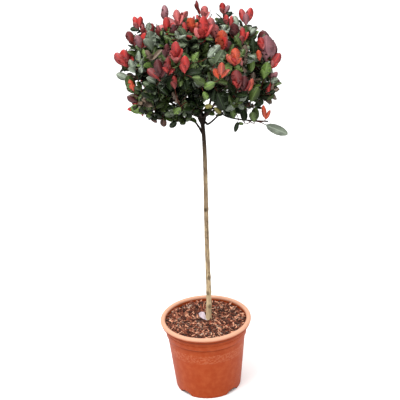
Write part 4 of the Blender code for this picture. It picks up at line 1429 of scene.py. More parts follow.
@lru_cache(maxsize=None)
def chip_tree():
    """Scatters chips of many sizes over a surface, turned every way and tilted."""
    graph, given, made = new_tree(
        "Scattered Bark",
        ("Chips", GROUP, None),
        ("Per Square Metre", NUMBER, 10000.0),
        ("Length", NUMBER, 0.01),
        ("Tilt", NUMBER, 0.5),
        ("Lift", NUMBER, 0.001),
        ("Clear Place", VECTOR, (0, 0, 0)),
        ("Clear Radius", NUMBER, 0.01),
        ("Seed", "NodeSocketInt", 1),
        ("Finish", LOOK, None),
    )
    place = graph.add("GeometryNodeInputPosition").outputs[0]
    apart = graph.vector("DISTANCE", place, given["Clear Place"])
    clear = graph.add(
        "FunctionNodeCompare",
        {0: apart, 1: given["Clear Radius"]},
        data_type="FLOAT",
        operation="GREATER_THAN",
    )
    points = graph.add(
        "GeometryNodeDistributePointsOnFaces",
        {
            "Mesh": given["Geometry"],
            "Selection": clear.outputs[0],
            "Density": given["Per Square Metre"],
            "Seed": given["Seed"],
        },
    )
    tilt = given["Tilt"]
    back = graph.times(tilt, -1.0)
    first = graph.combine(back, back, -math.pi)
    last = graph.combine(tilt, tilt, math.pi)
    turn = graph.add(
        "FunctionNodeRandomValue", {0: first, 1: last, "Seed": given["Seed"]}, data_type="FLOAT_VECTOR"
    )
    least, most = [graph.times(given["Length"], share) for share in BARK_SIZES]
    size = graph.add("FunctionNodeRandomValue", {2: least, 3: most, "Seed": given["Seed"]}, data_type="FLOAT")
    lift = graph.combine(0.0, 0.0, given["Lift"])
    raised = graph.add("GeometryNodeSetPosition", {"Geometry": points.outputs["Points"], "Offset": lift})
    turned_to = {"Rotation": turn.outputs[0], "Scale": size.outputs[1]}
    chips = graph.members_on(raised.outputs[0], given["Chips"], turned_to)
    graph.link(graph.coloured(chips, given["Finish"]), made["Geometry"])
    return graph.tree


def scatter_chips():
    """Bark chips in four colours over the compost, clear of the pale chip."""
    sizes = settings().compost
    chips = chip_collection()
    for seed, (name, colour, patch, density, size, lift) in enumerate(BARK_KINDS, BARK_SEED):
        piece = turned(f"bark_{name}", level_disc(BARK_RADIUS, BARK_RINGS), COMPOST_SIDES)
        for vertex in piece.data.vertices:
            vertex.co.z = compost_height(vertex.co.x, vertex.co.y)
        inputs = {
            "Chips": chips,
            "Per Square Metre": density,
            "Length": sizes.chip_length * size,
            "Tilt": BARK_TILT,
            "Lift": lift,
            "Clear Place": CHIP_PLACE,
            "Clear Radius": CHIP_ROOM,
            "Seed": seed,
            "Finish": bark_chip_finish(colour, getattr(sizes, colour), getattr(sizes, patch)),
        }
        run_tree(piece, chip_tree(), inputs)
        declare(piece, "compost", "compost")
    remove_collection(chips)


def build_pale_chip():
    """A pale chip of wood that leans back beside the trunk's foot."""
    along = CHIP_HEAD - CHIP_FOOT
    across = square_to(along.normalized(), Vector((1, 0, 0)))
    face = across.cross(along).normalized()
    rings = []
    for lift in (0, CHIP_THICKNESS):
        rings.append([CHIP_FOOT + across * x * CHIP_WIDTH + along * y + face * lift for x, y in CHIP_OUTLINE])
    chip = add_object("pale_wood_chip", *skin(rings))
    chip.data.materials.append(pale_chip_finish())
    declare(chip, "pale_wood", "pale_chip")


# Curves, the trunk and the boughs.


class Curve:
    """A smooth line held as closely spaced points, read by the distance along it."""

    def __init__(self, points):
        self.points = points
        self.marks = [0.0]
        for a, b in zip(points, points[1:]):
            self.marks.append(self.marks[-1] + (b - a).length)
        self.length = self.marks[-1]

    def at(self, distance):
        last = len(self.points) - 2
        index = min(max(bisect_right(self.marks, distance) - 1, 0), last)
        step = self.marks[index + 1] - self.marks[index]
        return self.points[index].lerp(self.points[index + 1], (distance - self.marks[index]) / step)

    def direction(self, distance):
        reach = self.length / CURVE_STEPS
        low = max(distance - reach, 0.0)
        high = min(distance + reach, self.length)
        return (self.at(high) - self.at(low)).normalized()

    def stations(self, start, end, count):
        """Places and directions at even distances."""
        distances = [start + (end - start) * i / (count - 1) for i in range(count)]
        return [(self.at(d), self.direction(d)) for d in distances]


def curve_through(points, leave=None, arrive=None):
    """A smooth curve through a few points, along the given directions at its ends."""
    last = len(points) - 1
    ways = [(points[min(i + 1, last)] - points[max(i - 1, 0)]).normalized() for i in range(last + 1)]
    if leave is not None:
        ways[0] = leave.normalized()
    if arrive is not None:
        ways[last] = arrive.normalized()
    line = []
    for a, b, way_a, way_b in zip(points, points[1:], ways, ways[1:]):
        handle = (b - a).length * HANDLE
        line += geometry.interpolate_bezier(a, a + way_a * handle, b - way_b * handle, b, CURVE_STEPS)[:-1]
    return Curve(line + [points[last]])


def toward(bearing, rise):
    """The direction at a bearing and a rise in degrees."""
    flat = math.cos(math.radians(rise))
    turn = math.radians(bearing)
    return Vector((flat * math.cos(turn), flat * math.sin(turn), math.sin(math.radians(rise))))


@lru_cache(maxsize=None)
def trunk_curve():
    return curve_through(TRUNK_COURSE, leave=UP)


def trunk_radius(distance):
    """The trunk's radius: a taper, a flare at the foot, old scars, and the knot at the head."""
    wood = settings().wood
    length = trunk_curve().length
    share = distance / length
    radius = wood.trunk_radius + (wood.trunk_top_radius - wood.trunk_radius) * share
    radius += FLARE * math.exp(-distance / FLARE_HEIGHT)
    for scar in SCAR_SHARES:
        radius += SCAR_SWELLING * math.exp(-(((share - scar) * length / SCAR_LENGTH) ** 2))
    radius += KNOT_SWELLING * math.exp(-(((length - distance) / KNOT_LENGTH) ** 2))
    return radius


@lru_cache(maxsize=None)
def wood_tree():
    """Round wood along paths, as thick as their radius says, with bark relief drawn out along Z."""
    graph, given, made = new_tree(
        "Wood along Paths",
        ("Sides", "NodeSocketInt", 12),
        ("Relief", NUMBER, 0.0005),
        ("Ridge Scale", NUMBER, 300.0),
        ("Finish", LOOK, None),
    )
    lines = graph.add("GeometryNodeMeshToCurve", {"Mesh": given["Geometry"]})
    ring = graph.add("GeometryNodeCurvePrimitiveCircle", {"Resolution": given["Sides"], "Radius": 1.0})
    round_wood = graph.add(
        "GeometryNodeCurveToMesh",
        {
            "Curve": lines.outputs[0],
            "Profile Curve": ring.outputs[0],
            "Scale": graph.read("thickness", "FLOAT"),
            "Fill Caps": True,
        },
    )
    place = graph.add("GeometryNodeInputPosition").outputs[0]
    drawn = graph.vector("MULTIPLY", place, (1, 1, WOOD_DRAWN))
    ridges = graph.cloud(drawn, given["Ridge Scale"], 3.0)
    swell = graph.times(graph.minus(ridges, 0.5), given["Relief"])
    normal = graph.add("GeometryNodeInputNormal").outputs[0]
    offset = graph.add("ShaderNodeVectorMath", {0: normal, "Scale": swell}, operation="SCALE").outputs[0]
    rough = graph.add("GeometryNodeSetPosition", {"Geometry": round_wood.outputs[0], "Offset": offset})
    smooth = graph.add("GeometryNodeSetShadeSmooth", {"Geometry": rough.outputs[0]}).outputs[0]
    graph.link(graph.coloured(graph.real(smooth), given["Finish"]), made["Geometry"])
    return graph.tree


def round_wood(name, paths, sides, relief, ridges, finish):
    """One piece of wood along paths, each given as its places and its radii."""
    corners = []
    edges = []
    radii = []
    for places, widths in paths:
        first = len(corners)
        corners += places
        radii += widths
        edges += [(first + i, first + i + 1) for i in range(len(places) - 1)]
    piece = add_object(name, corners, [], edges=edges)
    add_values(piece, "thickness", "FLOAT", "POINT", radii)
    inputs = {"Sides": sides, "Relief": relief, "Ridge Scale": ridges, "Finish": finish}
    return run_tree(piece, wood_tree(), inputs)


def build_trunk():
    """The trunk with its bark, from the flat cut to the knot, where its last rings draw in."""
    curve = trunk_curve()
    count = round(curve.length / TRUNK_STEP)
    distances = [curve.length * i / count for i in range(count + 1)]
    places = [curve.at(d) for d in distances]
    radii = [trunk_radius(d) for d in distances]
    head = curve.direction(curve.length)
    for angle in np.linspace(0, 90, KNOT_RINGS)[1:]:
        places.append(KNOT + head * KNOT_TOP * math.sin(math.radians(angle)))
        radii.append(max(trunk_radius(curve.length) * math.cos(math.radians(angle)), KNOT_TIP))
    piece = round_wood("trunk_bark", [(places, radii)], *TRUNK_ROUND, trunk_finish())
    declare(piece, "bark", "trunk")


# The rule by which the head grows.


def inside_crown(spots, old=False):
    """Whether places lie inside the crown's outline, whose top is a lower dome for old leaves."""
    away = np.abs(spots - CROWN_CENTRE)
    low = spots[:, 2] < CROWN_CENTRE[2]
    away[low, 2] *= CROWN_SIZE[2] / CROWN_DEPTH
    if old and not low.all() and ((away[~low] / DOME_SIZE) ** DOME_POWER).sum(axis=1).max() > 1:
        return False
    return ((away / CROWN_SIZE) ** CROWN_POWER).sum(axis=1).max() <= 1


def faces_back(place):
    """Whether a place at the crown's outline is out of sight, behind the crown."""
    away = np.array(place) - CROWN_CENTRE
    across, up = away[1] / CROWN_SIZE[1] ** 2, away[2] / CROWN_SIZE[2] ** 2
    return across * math.cos(VIEW_RISE) - up * math.sin(VIEW_RISE) > BACK_LIMIT


def stands_clear(place):
    """Whether a place stands clear of the old leaves at the front."""
    return not faces_back(place) and not inside_crown(np.array([place]), True)


def cut_back(points):
    """A line without the end that stands clear of the old leaves, where each spray has its own place."""
    keep = len(points)
    while keep > 2 and stands_clear(points[keep - 1]):
        keep -= 1
    return points[:keep]


class Room:
    """The space of one mass: what is nearer to its own stem than to any other, and within its reach."""

    def __init__(self, limb, stems):
        self.limb = limb
        names = list(stems)
        self.owner = np.concatenate([[name == limb.name] * (len(stems[name]) - 1) for name in names])
        self.start = np.concatenate([stems[name][:-1] for name in names])
        self.step = np.concatenate([np.diff(stems[name], axis=0) for name in names])
        self.square = (self.step**2).sum(axis=1)

    def holds(self, points, extra=0.0, old=False):
        """Whether points lie in the room, which is lower for old leaves."""
        spots = np.array(points)
        from_trunk = np.hypot(spots[:, 0] - KNOT.x, spots[:, 1] - KNOT.y) / CROWN_SIZE[0]
        bowl = 0 if self.limb.stray else (CROWN_EDGE - self.limb.floor) * from_trunk**2
        if (spots[:, 2] - bowl).min() < self.limb.floor + extra:
            return False
        away = np.linalg.norm(spots - np.array(KNOT), axis=1).max()
        if away > self.limb.reach + REACH_ALLOWANCE:
            return False
        if not self.limb.stray and not inside_crown(spots, old):
            return False
        offset = spots[:, None, :] - self.start[None]
        part = np.clip((offset * self.step).sum(axis=2) / self.square, 0, 1)
        apart = np.linalg.norm(offset - part[:, :, None] * self.step, axis=2)
        own = apart[:, self.owner].min(axis=1)
        other = apart[:, ~self.owner].min(axis=1)
        return bool((other - own).min() > 2 * (ROOM_MARGIN + extra))


class Obstacles:
    """What a new twig or leaf must not touch, each with the box round it."""

    def __init__(self):
        self.trees = []
        self.low = np.empty((MOST_SHAPES, 3))
        self.high = np.empty((MOST_SHAPES, 3))

    def add(self, corners, faces):
        spots = np.array(corners)
        self.low[len(self.trees)] = spots.min(axis=0)
        self.high[len(self.trees)] = spots.max(axis=0)
        self.trees.append(BVHTree.FromPolygons(corners, faces))

    def touch(self, corners, faces):
        spots = np.array(corners)
        count = len(self.trees)
        near = (self.low[:count] <= spots.max(axis=0)) & (self.high[:count] >= spots.min(axis=0))
        found = np.flatnonzero(near.all(axis=1))
        if not len(found):
            return False
        tree = BVHTree.FromPolygons(corners, faces)
        return any(tree.overlap(self.trees[index]) for index in found)


def tapered(first, last, count):
    """Radii that change evenly from the first to the last."""
    return [first + (last - first) * i / (count - 1) for i in range(count)]


TEST_FACES = ((0, 1, 2), (2, 1, 3), (2, 3, 4), (4, 3, 5))


def test_blade(root, along, face, length, width):
    """The middle of a leaf as four triangles, to find whether it touches another."""
    half = along.cross(face) * width * length / 2
    waist = root + along * length * TEST_WAIST
    shoulder = root + along * length * TEST_SHOULDER
    return [
        root + along * length * TEST_START,
        waist + half,
        waist - half,
        shoulder + half,
        shoulder - half,
        root + along * length * TEST_END,
    ]


@dataclass
class Leaf:
    """A leaf in its place: which shape it has, how it is turned, and its length."""

    shape: int
    place: Vector
    turn: tuple
    length: float


class Head:
    """All that grows from the knot: boughs, twigs and shoots as paths, and leaves by tint."""

    def __init__(self):
        self.curves = {}
        self.radii = {}
        self.boughs = []
        self.twigs = []
        self.young_shoots = []
        self.wood = Obstacles()
        self.blades = Obstacles()
        self.sights = Obstacles()
        self.leaves = defaultdict(list)
        self.masses = []

    def limb_curve(self, limb):
        """The curve of a limb and of the stem beyond it, from the skin of what carries it."""
        tip = KNOT + toward(limb.bearing, limb.rise) * (limb.reach - TIP_BACK)
        arrive = (toward(limb.bearing, limb.rise) + UP * UPTURN).normalized()
        via = [Vector(place) for place in limb.via]
        aim = via[0] if via else tip
        if limb.parent:
            parent = self.curves[limb.parent]
            place = parent.length * LIMB_SHARE * limb.fork
            root = parent.at(place)
            axis = parent.direction(place)
            leave = (square_to(axis, aim - root) + axis * SIDE_LEAN).normalized()
            skin_depth = self.radii[limb.parent]
            radius = SIDE_LIMB_RADIUS
        else:
            trunk = trunk_curve()
            root = trunk.at(trunk.length - limb.below)
            leave = (aim - root).normalized() if via else toward(limb.bearing, limb.rise * LEAVING_RISE)
            skin_depth = trunk_radius(trunk.length - limb.below)
            radius = LIMB_RADIUS
        if limb.stray:
            arrive = toward(limb.bearing, limb.rise)
        self.curves[limb.name] = curve_through([root + leave * skin_depth, *via, tip], leave, arrive)
        self.radii[limb.name] = radius
        return root

    def grow_limbs(self):
        """Each bough from the axis of what carries it to the end of its stem, and the room of each mass."""
        stems = {}
        for limb in LIMBS:
            root = self.limb_curve(limb)
            curve, radius = self.curves[limb.name], self.radii[limb.name]
            end = curve.length * LIMB_SHARE
            widths = tapered(radius, radius * LIMB_TAPER, LIMB_STATIONS)
            stations = curve.stations(0, end, LIMB_STATIONS)
            self.wood.add(*tube(stations, cleared(widths), LIMB_SIDES))
            stems[limb.name] = np.array([p for p, _ in curve.stations(end, curve.length, ROOM_STATIONS)])
            count = len(curve.points)
            lower = tapered(radius, radius * LIMB_TAPER, round(count * LIMB_SHARE))
            thin = STRAY_TIP if limb.stray else TWIG_TIP
            upper = tapered(radius * LIMB_TAPER, thin, count - len(lower))
            places = [root] + cut_back(curve.points)
            thick = [width * BARK_SHARE for width in (radius, *lower, *upper)]
            self.boughs.append((places, thick[: len(places)]))
        for limb in LIMBS:
            self.masses.append(Mass(limb, Room(limb, stems), self))


class Mass:
    """The foliage of one limb: its stem, the twigs of the source's rule, and the finer shoots."""

    def __init__(self, limb, room, head):
        self.limb = limb
        self.room = room
        self.head = head
        self.random = random.Random(limb.seed)
        self.shoots = []

    def grow_twigs(self):
        curve = self.head.curves[self.limb.name]
        radius = self.head.radii[self.limb.name]
        start = curve.length * LIMB_SHARE
        stations = curve.stations(start, curve.length, STEM_STATIONS)
        radii = tapered(radius * LIMB_TAPER, TWIG_TIP, STEM_STATIONS)
        self.head.wood.add(*tube(stations, cleared(radii), TWIG_SIDES))
        stem = Curve([place for place, _ in curve.stations(start, curve.length, CURVE_STEPS)])
        self.shoots.append(Curve(cut_back(stem.points)))
        turn = self.random.uniform(0, 2 * math.pi)
        for share in self.limb.twigs:
            size = settings().wood.twig_length * (1 - TWIG_SHORTER * share) * self.random.uniform(*TWIG_RANGE)
            sizes = [size * shrink for shrink in TWIG_LENGTHS]
            twig = self.add_twig(stem, stem.length * share, turn, sizes, (TWIG_RADIUS, TWIG_TIP), TIP_ROOM)
            turn += GOLDEN_ANGLE
            if twig:
                self.shoots.append(twig)

    def grow_shoots(self):
        """Side shoots along the bough, its stem and the twigs."""
        curve = self.head.curves[self.limb.name]
        inner = curve.stations(curve.length * INNER_SHARE, curve.length * LIMB_SHARE, CURVE_STEPS)
        for carrier in [*self.shoots, Curve([place for place, _ in inner])]:
            turn = self.random.uniform(0, 2 * math.pi)
            place = carrier.length * SHOOT_START
            while place < carrier.length - SHOOT_SPACING / 2:
                size = settings().wood.shoot_length * self.random.uniform(*SHOOT_RANGE)
                sizes = [size * shrink for shrink in SHOOT_LENGTHS]
                shoot = self.add_twig(carrier, place, turn, sizes, (SHOOT_RADIUS, SHOOT_TIP), SHOOT_ROOM)
                if shoot:
                    self.shoots.append(shoot)
                turn += GOLDEN_ANGLE
                place += SHOOT_SPACING * self.random.uniform(*SPACING_RANGE)

    def add_twig(self, stem, place, turn, sizes, radii, tip_room):
        """A side twig that leaves the stem and turns up, at the first turn and length that has room."""
        root = stem.at(place)
        axis = stem.direction(place)
        across = square_to(axis, UP)
        beside = axis.cross(across)
        wide = cleared(tapered(*radii, TWIG_STATIONS))
        for size in sizes:
            for attempt in range(TWIG_TRIES):
                swing = turn + 2 * math.pi * attempt / TWIG_TRIES
                out = across * math.cos(swing) + beside * math.sin(swing)
                leave = axis * math.cos(TWIG_ANGLE) + out * math.sin(TWIG_ANGLE)
                arrive = (leave + UP * TWIG_UPTURN).normalized()
                end = root + (leave + arrive).normalized() * size
                twig = curve_through([root, end], leave, arrive)
                outer = twig.stations(TWIG_CLEAR, twig.length, TWIG_STATIONS)
                places = [spot for spot, _ in outer] + [end + arrive * tip_room]
                if not self.room.holds(places, TWIG_RADIUS):
                    continue
                if self.head.wood.touch(*tube(outer, wide, TWIG_SIDES)):
                    continue
                stations = twig.stations(0, twig.length, TWIG_STATIONS)
                self.head.wood.add(*tube(stations, wide, TWIG_SIDES))
                points = cut_back(twig.points)
                self.head.twigs.append((points, tapered(*radii, len(points))))
                return Curve(points)
        return None

    def add_leaf(self, shoot, distance, turn, spread, length, tint):
        """Places one leaf on a shoot, turned a little more at each try, or leaves it out."""
        axis = shoot.direction(distance)
        light = YOUNG_LIGHT if tint in YOUNG_TINTS else OLD_LIGHT
        for attempt in range(LEAF_TRIES):
            out = around(axis, turn + (attempt + 1) // 2 * LEAF_SWING * (-1) ** attempt)
            spot = Spot(shoot.at(distance), axis, out, spread, light)
            shorter = length * (1 - LEAF_SHRINK * attempt)
            if place_leaf(self.head, spot, shorter, tint, self.random, self.room):
                return


def around(axis, turn):
    """The way out from an axis at an angle round it."""
    across = square_to(axis, UP if abs(axis.z) < STEEP else Vector((1, 0, 0)))
    return across * math.cos(turn) + axis.cross(across) * math.sin(turn)


@dataclass
class Spot:
    """Where a leaf starts: its root on a shoot, the shoot's axis, the way out, its spread and its light."""

    root: Vector
    axis: Vector
    out: Vector
    spread: float
    light: Vector


def place_leaf(head, spot, length, tint, chance, room=None, shy=True, slim=False):
    """Adds a leaf that spreads from its spot, with its upper face to the axis and the light.

    It is left out where it would leave its room or touch another leaf, and a shy one where it would hide
    a spray or a gap. Whether it was added is given back.
    """
    young = tint in YOUNG_TINTS
    root = spot.root
    spread_out = spot.axis * math.cos(spot.spread) + spot.out * math.sin(spot.spread)
    along = (spread_out + UP * LEAF_LIFT).normalized()
    face = square_to(along, spot.axis + spot.light)
    blade = test_blade(root, along, face, length, YOUNG_TEST_WIDTH if young else TEST_WIDTH)
    if np.min(blade - REACH_LOW) < 0 or np.min(REACH_HIGH - blade) < 0:
        return False
    if room is not None and not room.holds(blade, old=not young):
        return False
    if head.blades.touch(blade, TEST_FACES) or (shy and head.sights.touch(blade, TEST_FACES)):
        return False
    head.blades.add(blade, TEST_FACES)
    right = along.cross(face)
    turned_to = Matrix((right, along, face)).transposed().to_euler()
    if slim:
        shape = len(OLD_SHAPES) + len(YOUNG_SHAPES)
    elif young:
        shape = len(OLD_SHAPES) + chance.randrange(len(YOUNG_SHAPES))
    else:
        shape = chance.randrange(len(OLD_SHAPES))
    head.leaves[tint].append(Leaf(shape, root, tuple(turned_to), length))
    return True


def deal(tints, chance):
    """One tint, as often as the table says."""
    return chance.choices(list(tints), list(tints.values()))[0]


def varied(tint, chance):
    """A tint, or now and then the one next to it."""
    return NEXT_TINT.get(tint, tint) if chance.random() < NEXT_SHARE else tint


def dress_shoot(mass, shoot):
    """A flush of upright leaves at the tip of a shoot, and spreading old leaves back along it."""
    chance = mass.random
    leaf = settings().leaf
    tip = shoot.at(shoot.length)
    high = tip.z > CROWN_CENTRE[2]
    # Higher old leaves get paler tints and lower ones darker: partly painted light and shade.
    old = deal(HIGH_TINTS if high else MIDDLE_TINTS if tip.z > LOW_LEVEL else LOW_TINTS, chance)
    redness = HIGH_REDNESS if high else LOW_REDNESS
    young = faces_back(tip) and tip.z < HIGHEST_FLUSH and chance.random() < redness
    grown = leaf.length * (1 if high else LOW_LENGTH)
    flush = deal(YOUNG_TINTS, chance) if young else old
    opening = YOUNG_SPREAD if young else TIP_SPREAD
    size = leaf.young_length if young else grown * TIP_LENGTH
    turn = chance.uniform(0, 2 * math.pi)
    place = shoot.length - TIP_BARE
    for i in range(TIP_LEAVES):
        spread = opening * (1 + i) * chance.uniform(*SPREAD_RANGE)
        length = size * (1 - YOUNG_GROWTH + YOUNG_GROWTH * i / 2) * chance.uniform(*LENGTH_RANGE)
        mass.add_leaf(shoot, place, turn, spread, length, varied(flush, chance))
        turn += GOLDEN_ANGLE
        place -= YOUNG_SPACING
    while place > shoot.length * BARE_SHARE:
        spread = LEAF_SPREAD * chance.uniform(*SPREAD_RANGE)
        length = grown * chance.uniform(*LENGTH_RANGE)
        mass.add_leaf(shoot, place, turn, spread, length, old)
        turn += GOLDEN_ANGLE
        place -= leaf.spacing * chance.uniform(*SPACING_RANGE)


def seen(spot, depth):
    """The place that shows at a spot of the view, at a depth along Y."""
    across, down = spot
    right = (across / VIEW_PARTS - 0.5) * SENSOR
    up = (0.5 - down / VIEW_PARTS) * SENSOR
    ray = VIEW_TURNED @ Vector((right, up, -LENS))
    return EYE + ray * ((depth - EYE.y) / ray.y)


def open_windows(head):
    """Keeps shy leaves out of the lines of sight through the gaps."""
    for spot, radius in WINDOWS:
        place = seen(spot, KNOT.y)
        ahead = (EYE - place).normalized()
        reach = ahead * WINDOW_REACH
        head.sights.add(*rod(place + reach, place - reach, ahead, radius, SIGHT_SIDES))


def nearest_wood(head):
    """A function that gives the place and direction of the shoot nearest to a place."""
    samples = []
    for mass in head.masses:
        for shoot in mass.shoots:
            samples += shoot.stations(0, shoot.length * SPRAY_SOURCE, SPRAY_SOURCES)
    spots = np.array([place for place, _ in samples])
    return lambda place: samples[int(np.linalg.norm(spots - np.array(place), axis=1).argmin())]


def grow_spray(head, spray, nearest, chance):
    """One spray on a shoot of its own, and the clear line from it to the eye.

    The shoot and the place where its leaves end are given back.
    """
    foot = seen(spray.foot, spray.depth)
    tip = seen(spray.tip, spray.depth - spray.forward)
    size = (tip - foot).length
    way = (tip - foot).normalized()
    inward = foot - (way + (foot - KNOT).normalized()).normalized() * SPRAY_STEM
    root, axis = nearest(inward)
    shoot = curve_through([root, foot], (foot - root).normalized() + axis * SPRAY_FORK, way)
    head.young_shoots.append((shoot.points, tapered(SPRAY_RADIUS, SPRAY_TIP, len(shoot.points))))
    ahead = (EYE - foot).normalized()
    away = square_to(way, -ahead)
    place = shoot.length - TIP_BARE
    for i in range(spray.leaves):
        spread = SPRAY_CLOSED + math.radians(spray.spread) * i**SPRAY_OPENING
        length = size * (chance.uniform(*SPRAY_LENGTHS) if i else 1)
        tint = varied(spray.tint, chance) if i else spray.tint
        for attempt in range(SPRAY_TRIES):
            out = Matrix.Rotation(GOLDEN_ANGLE * i + LEAF_SWING * attempt, 3, way) @ away
            light = ahead * (-VIEW_TURN if out.dot(ahead) > 0 else VIEW_TURN)
            spot = Spot(shoot.at(place), way, out, spread, light)
            if place_leaf(head, spot, length, tint, chance, shy=False, slim=spray.slim):
                break
        place -= SPRAY_SPACING
    for share in SIGHT_SHARES:
        centre = foot + way * size * share
        near, far = [centre + ahead * reach for reach in (SIGHT_START, SIGHT_LENGTH)]
        head.sights.add(*rod(near, far, ahead, size * SIGHT_WIDTH, SIGHT_SIDES))
    return shoot, place


def dress_below(head, spray, shoot, place, chance):
    """Older leaves down the shoot of a spray."""
    leaf = settings().leaf
    turn = chance.uniform(0, 2 * math.pi)
    while spray.below and place > shoot.length * SPRAY_BARE:
        axis = shoot.direction(place)
        spread = LEAF_SPREAD * chance.uniform(*SPREAD_RANGE)
        length = leaf.length * BELOW_LENGTH * chance.uniform(*LENGTH_RANGE)
        spot = Spot(shoot.at(place), axis, around(axis, turn), spread, OLD_LIGHT)
        place_leaf(head, spot, length, spray.below, chance)
        turn += GOLDEN_ANGLE
        place -= leaf.spacing * chance.uniform(*SPACING_RANGE)


def grow_sprays(head):
    """The sprays that show at the front, then the older leaves below them."""
    nearest = nearest_wood(head)
    grown = []
    for index, spray in enumerate(SPRAYS):
        chance = random.Random(SPRAY_SEED + index)
        grown.append((spray, *grow_spray(head, spray, nearest, chance), chance))
    for spray, shoot, place, chance in grown:
        dress_below(head, spray, shoot, place, chance)


@lru_cache(maxsize=None)
def grown_head():
    """The head is grown once, for its boughs, twigs and leaves alike."""
    head = Head()
    head.grow_limbs()
    for mass in head.masses:
        mass.grow_twigs()
    open_windows(head)
    grow_sprays(head)
    full = [mass for mass in head.masses if not mass.limb.stray]
    for mass in full:
        mass.grow_shoots()
    for mass in full:
        for shoot in mass.shoots:
            dress_shoot(mass, shoot)
    return head


# The leaves.


def half_width(share, shape):
    """Half the width of a leaf at a share of its length, with a narrow stalk and a short point."""
    if share <= PETIOLE:
        return PETIOLE_WIDTH / 2
    blade = (share - PETIOLE) / (1 - PETIOLE)
    rise = BLUNTNESS * shape.widest / (1 - shape.widest)
    most = shape.widest**rise * (1 - shape.widest) ** BLUNTNESS
    width = shape.width / 2 * blade**rise * (1 - blade) ** BLUNTNESS / most
    return max(width, PETIOLE_WIDTH / 4)


def leaf_mesh(shape):
    """Corners, faces, which faces are the underside, and the place of each corner on the blade."""
    corners = []
    spots = []
    for share in LEAF_STATIONS:
        half = half_width(share, shape)
        reach = share * (1 - abs(shape.curl) * CURL_SHORTENING * share)
        middle = Vector((0, reach, -shape.curl * share * share / 2))
        roll = shape.twist * share
        thick = LEAF_THICKNESS * (PETIOLE_THICKNESS if share <= PETIOLE else 1)
        for layer, aside in LEAF_PLACES:
            rise = shape.fold * abs(aside) * half + shape.cup * aside * aside * half * 2
            rise += shape.wave * math.sin(share * WAVE_COUNT + (aside > 0) * WAVE_OFFSET) * abs(aside)
            rise -= thick * layer
            across = aside * half
            x = across * math.cos(roll) + rise * math.sin(roll)
            z = -across * math.sin(roll) + rise * math.cos(roll)
            corners.append(middle + Vector((x, 0, z)))
            spots.append((0.5 + aside / 2, share))
    wide = LEAF_WIDE
    ring = len(LEAF_PLACES)
    beneath = list(range(wide, ring))
    lower = [0, *beneath, wide - 1]
    faces = []
    for i in range(len(LEAF_STATIONS) - 1):
        a, b = i * ring, (i + 1) * ring
        for k in range(wide - 1):
            faces.append((a + k, a + k + 1, b + k + 1, b + k))
            faces.append((a + lower[k + 1], a + lower[k], b + lower[k], b + lower[k + 1]))
    under = [False, True] * (len(faces) // 2) + [True, True]
    last = (len(LEAF_STATIONS) - 1) * ring
    faces.append((0, *beneath, *range(wide - 1, 0, -1)))
    faces.append(tuple(last + k for k in (*range(wide), *reversed(beneath))))
    return corners, faces, under, spots


def leaf_collection():
    """One object for each leaf shape, in order."""
    shapes = add_collection("leaf_shapes")
    for index, shape in enumerate((*OLD_SHAPES, *YOUNG_SHAPES, *SLIM_SHAPES)):
        corners, faces, under, spots = leaf_mesh(shape)
        made = add_object(f"shape_{index:02d}", corners, faces, shapes)
        add_values(made, "under", "BOOLEAN", "FACE", under)
        layer = made.data.uv_layers.new(name="UVMap")
        for loop in made.data.loops:
            layer.data[loop.index].uv = spots[loop.vertex_index]
        made.data.shade_smooth()
    return shapes


@lru_cache(maxsize=None)
def leaf_tree():
    """Puts a leaf on each point by the point's own shape, turn and size, and finishes both faces."""
    graph, given, made = new_tree(
        "Leaves on Shoots",
        ("Shapes", GROUP, None),
        ("Size", NUMBER, 1.0),
        ("Upper Finish", LOOK, None),
        ("Under Finish", LOOK, None),
    )
    turn = graph.add("FunctionNodeEulerToRotation", {0: graph.read("turn", "FLOAT_VECTOR")})
    dealt = {
        "Instance Index": graph.read("shape", "INT"),
        "Rotation": turn.outputs[0],
        "Scale": graph.times(graph.read("size", "FLOAT"), given["Size"]),
    }
    leaves = graph.members_on(given["Geometry"], given["Shapes"], dealt)
    upper = graph.coloured(leaves, given["Upper Finish"])
    under = graph.coloured(upper, given["Under Finish"], Selection=graph.read("under", "BOOLEAN"))
    graph.link(under, made["Geometry"])
    return graph.tree


def build_leaves():
    """One piece for each tint, from the points that the growing rule gave."""
    shapes = leaf_collection()
    for name, leaves in grown_head().leaves.items():
        piece = add_object(f"leaves_{name}", [leaf.place for leaf in leaves], [])
        add_values(piece, "turn", "FLOAT_VECTOR", "POINT", [angle for leaf in leaves for angle in leaf.turn])
        add_values(piece, "size", "FLOAT", "POINT", [leaf.length for leaf in leaves])
        add_values(piece, "shape", "INT", "POINT", [leaf.shape for leaf in leaves])
        upper, under = leaf_finish(f"leaf_{name}", getattr(settings().leaf, name), name in YOUNG_TINTS)
        inputs = {"Shapes": shapes, "Size": 1.0, "Upper Finish": upper, "Under Finish": under}
        run_tree(piece, leaf_tree(), inputs)
        declare(piece, "foliage", *LEAF_NODES)
    remove_collection(shapes)


def build_boughs():
    """The dark boughs with their stems."""
    finish = wood_finish("bough_bark", settings().wood.dark_bark)
    declare(round_wood("boughs", grown_head().boughs, *BOUGH_ROUND, finish), "bark", *LIMB_NODES)


def build_twigs():
    """The brown twigs, and the redder shoots that bear young leaves."""
    wood = settings().wood
    head = grown_head()
    kinds = (("twigs", head.twigs, wood.twig_bark), ("young_shoots", head.young_shoots, wood.young_bark))
    for name, paths, bark in kinds:
        piece = round_wood(name, paths, *TWIG_ROUND, wood_finish(f"{name}_bark", bark))
        declare(piece, "bark", *LEAF_NODES)


# The stage.


def add_light(name, place, aim, size, power):
    light = bpy.data.lights.new(name, "AREA")
    light.shape = "DISK"
    light.size = size
    light.energy = power
    made = put_in(name, light)
    made.location = place
    made.rotation_euler = (Vector(aim) - Vector(place)).to_track_quat("-Z", "Y").to_euler()


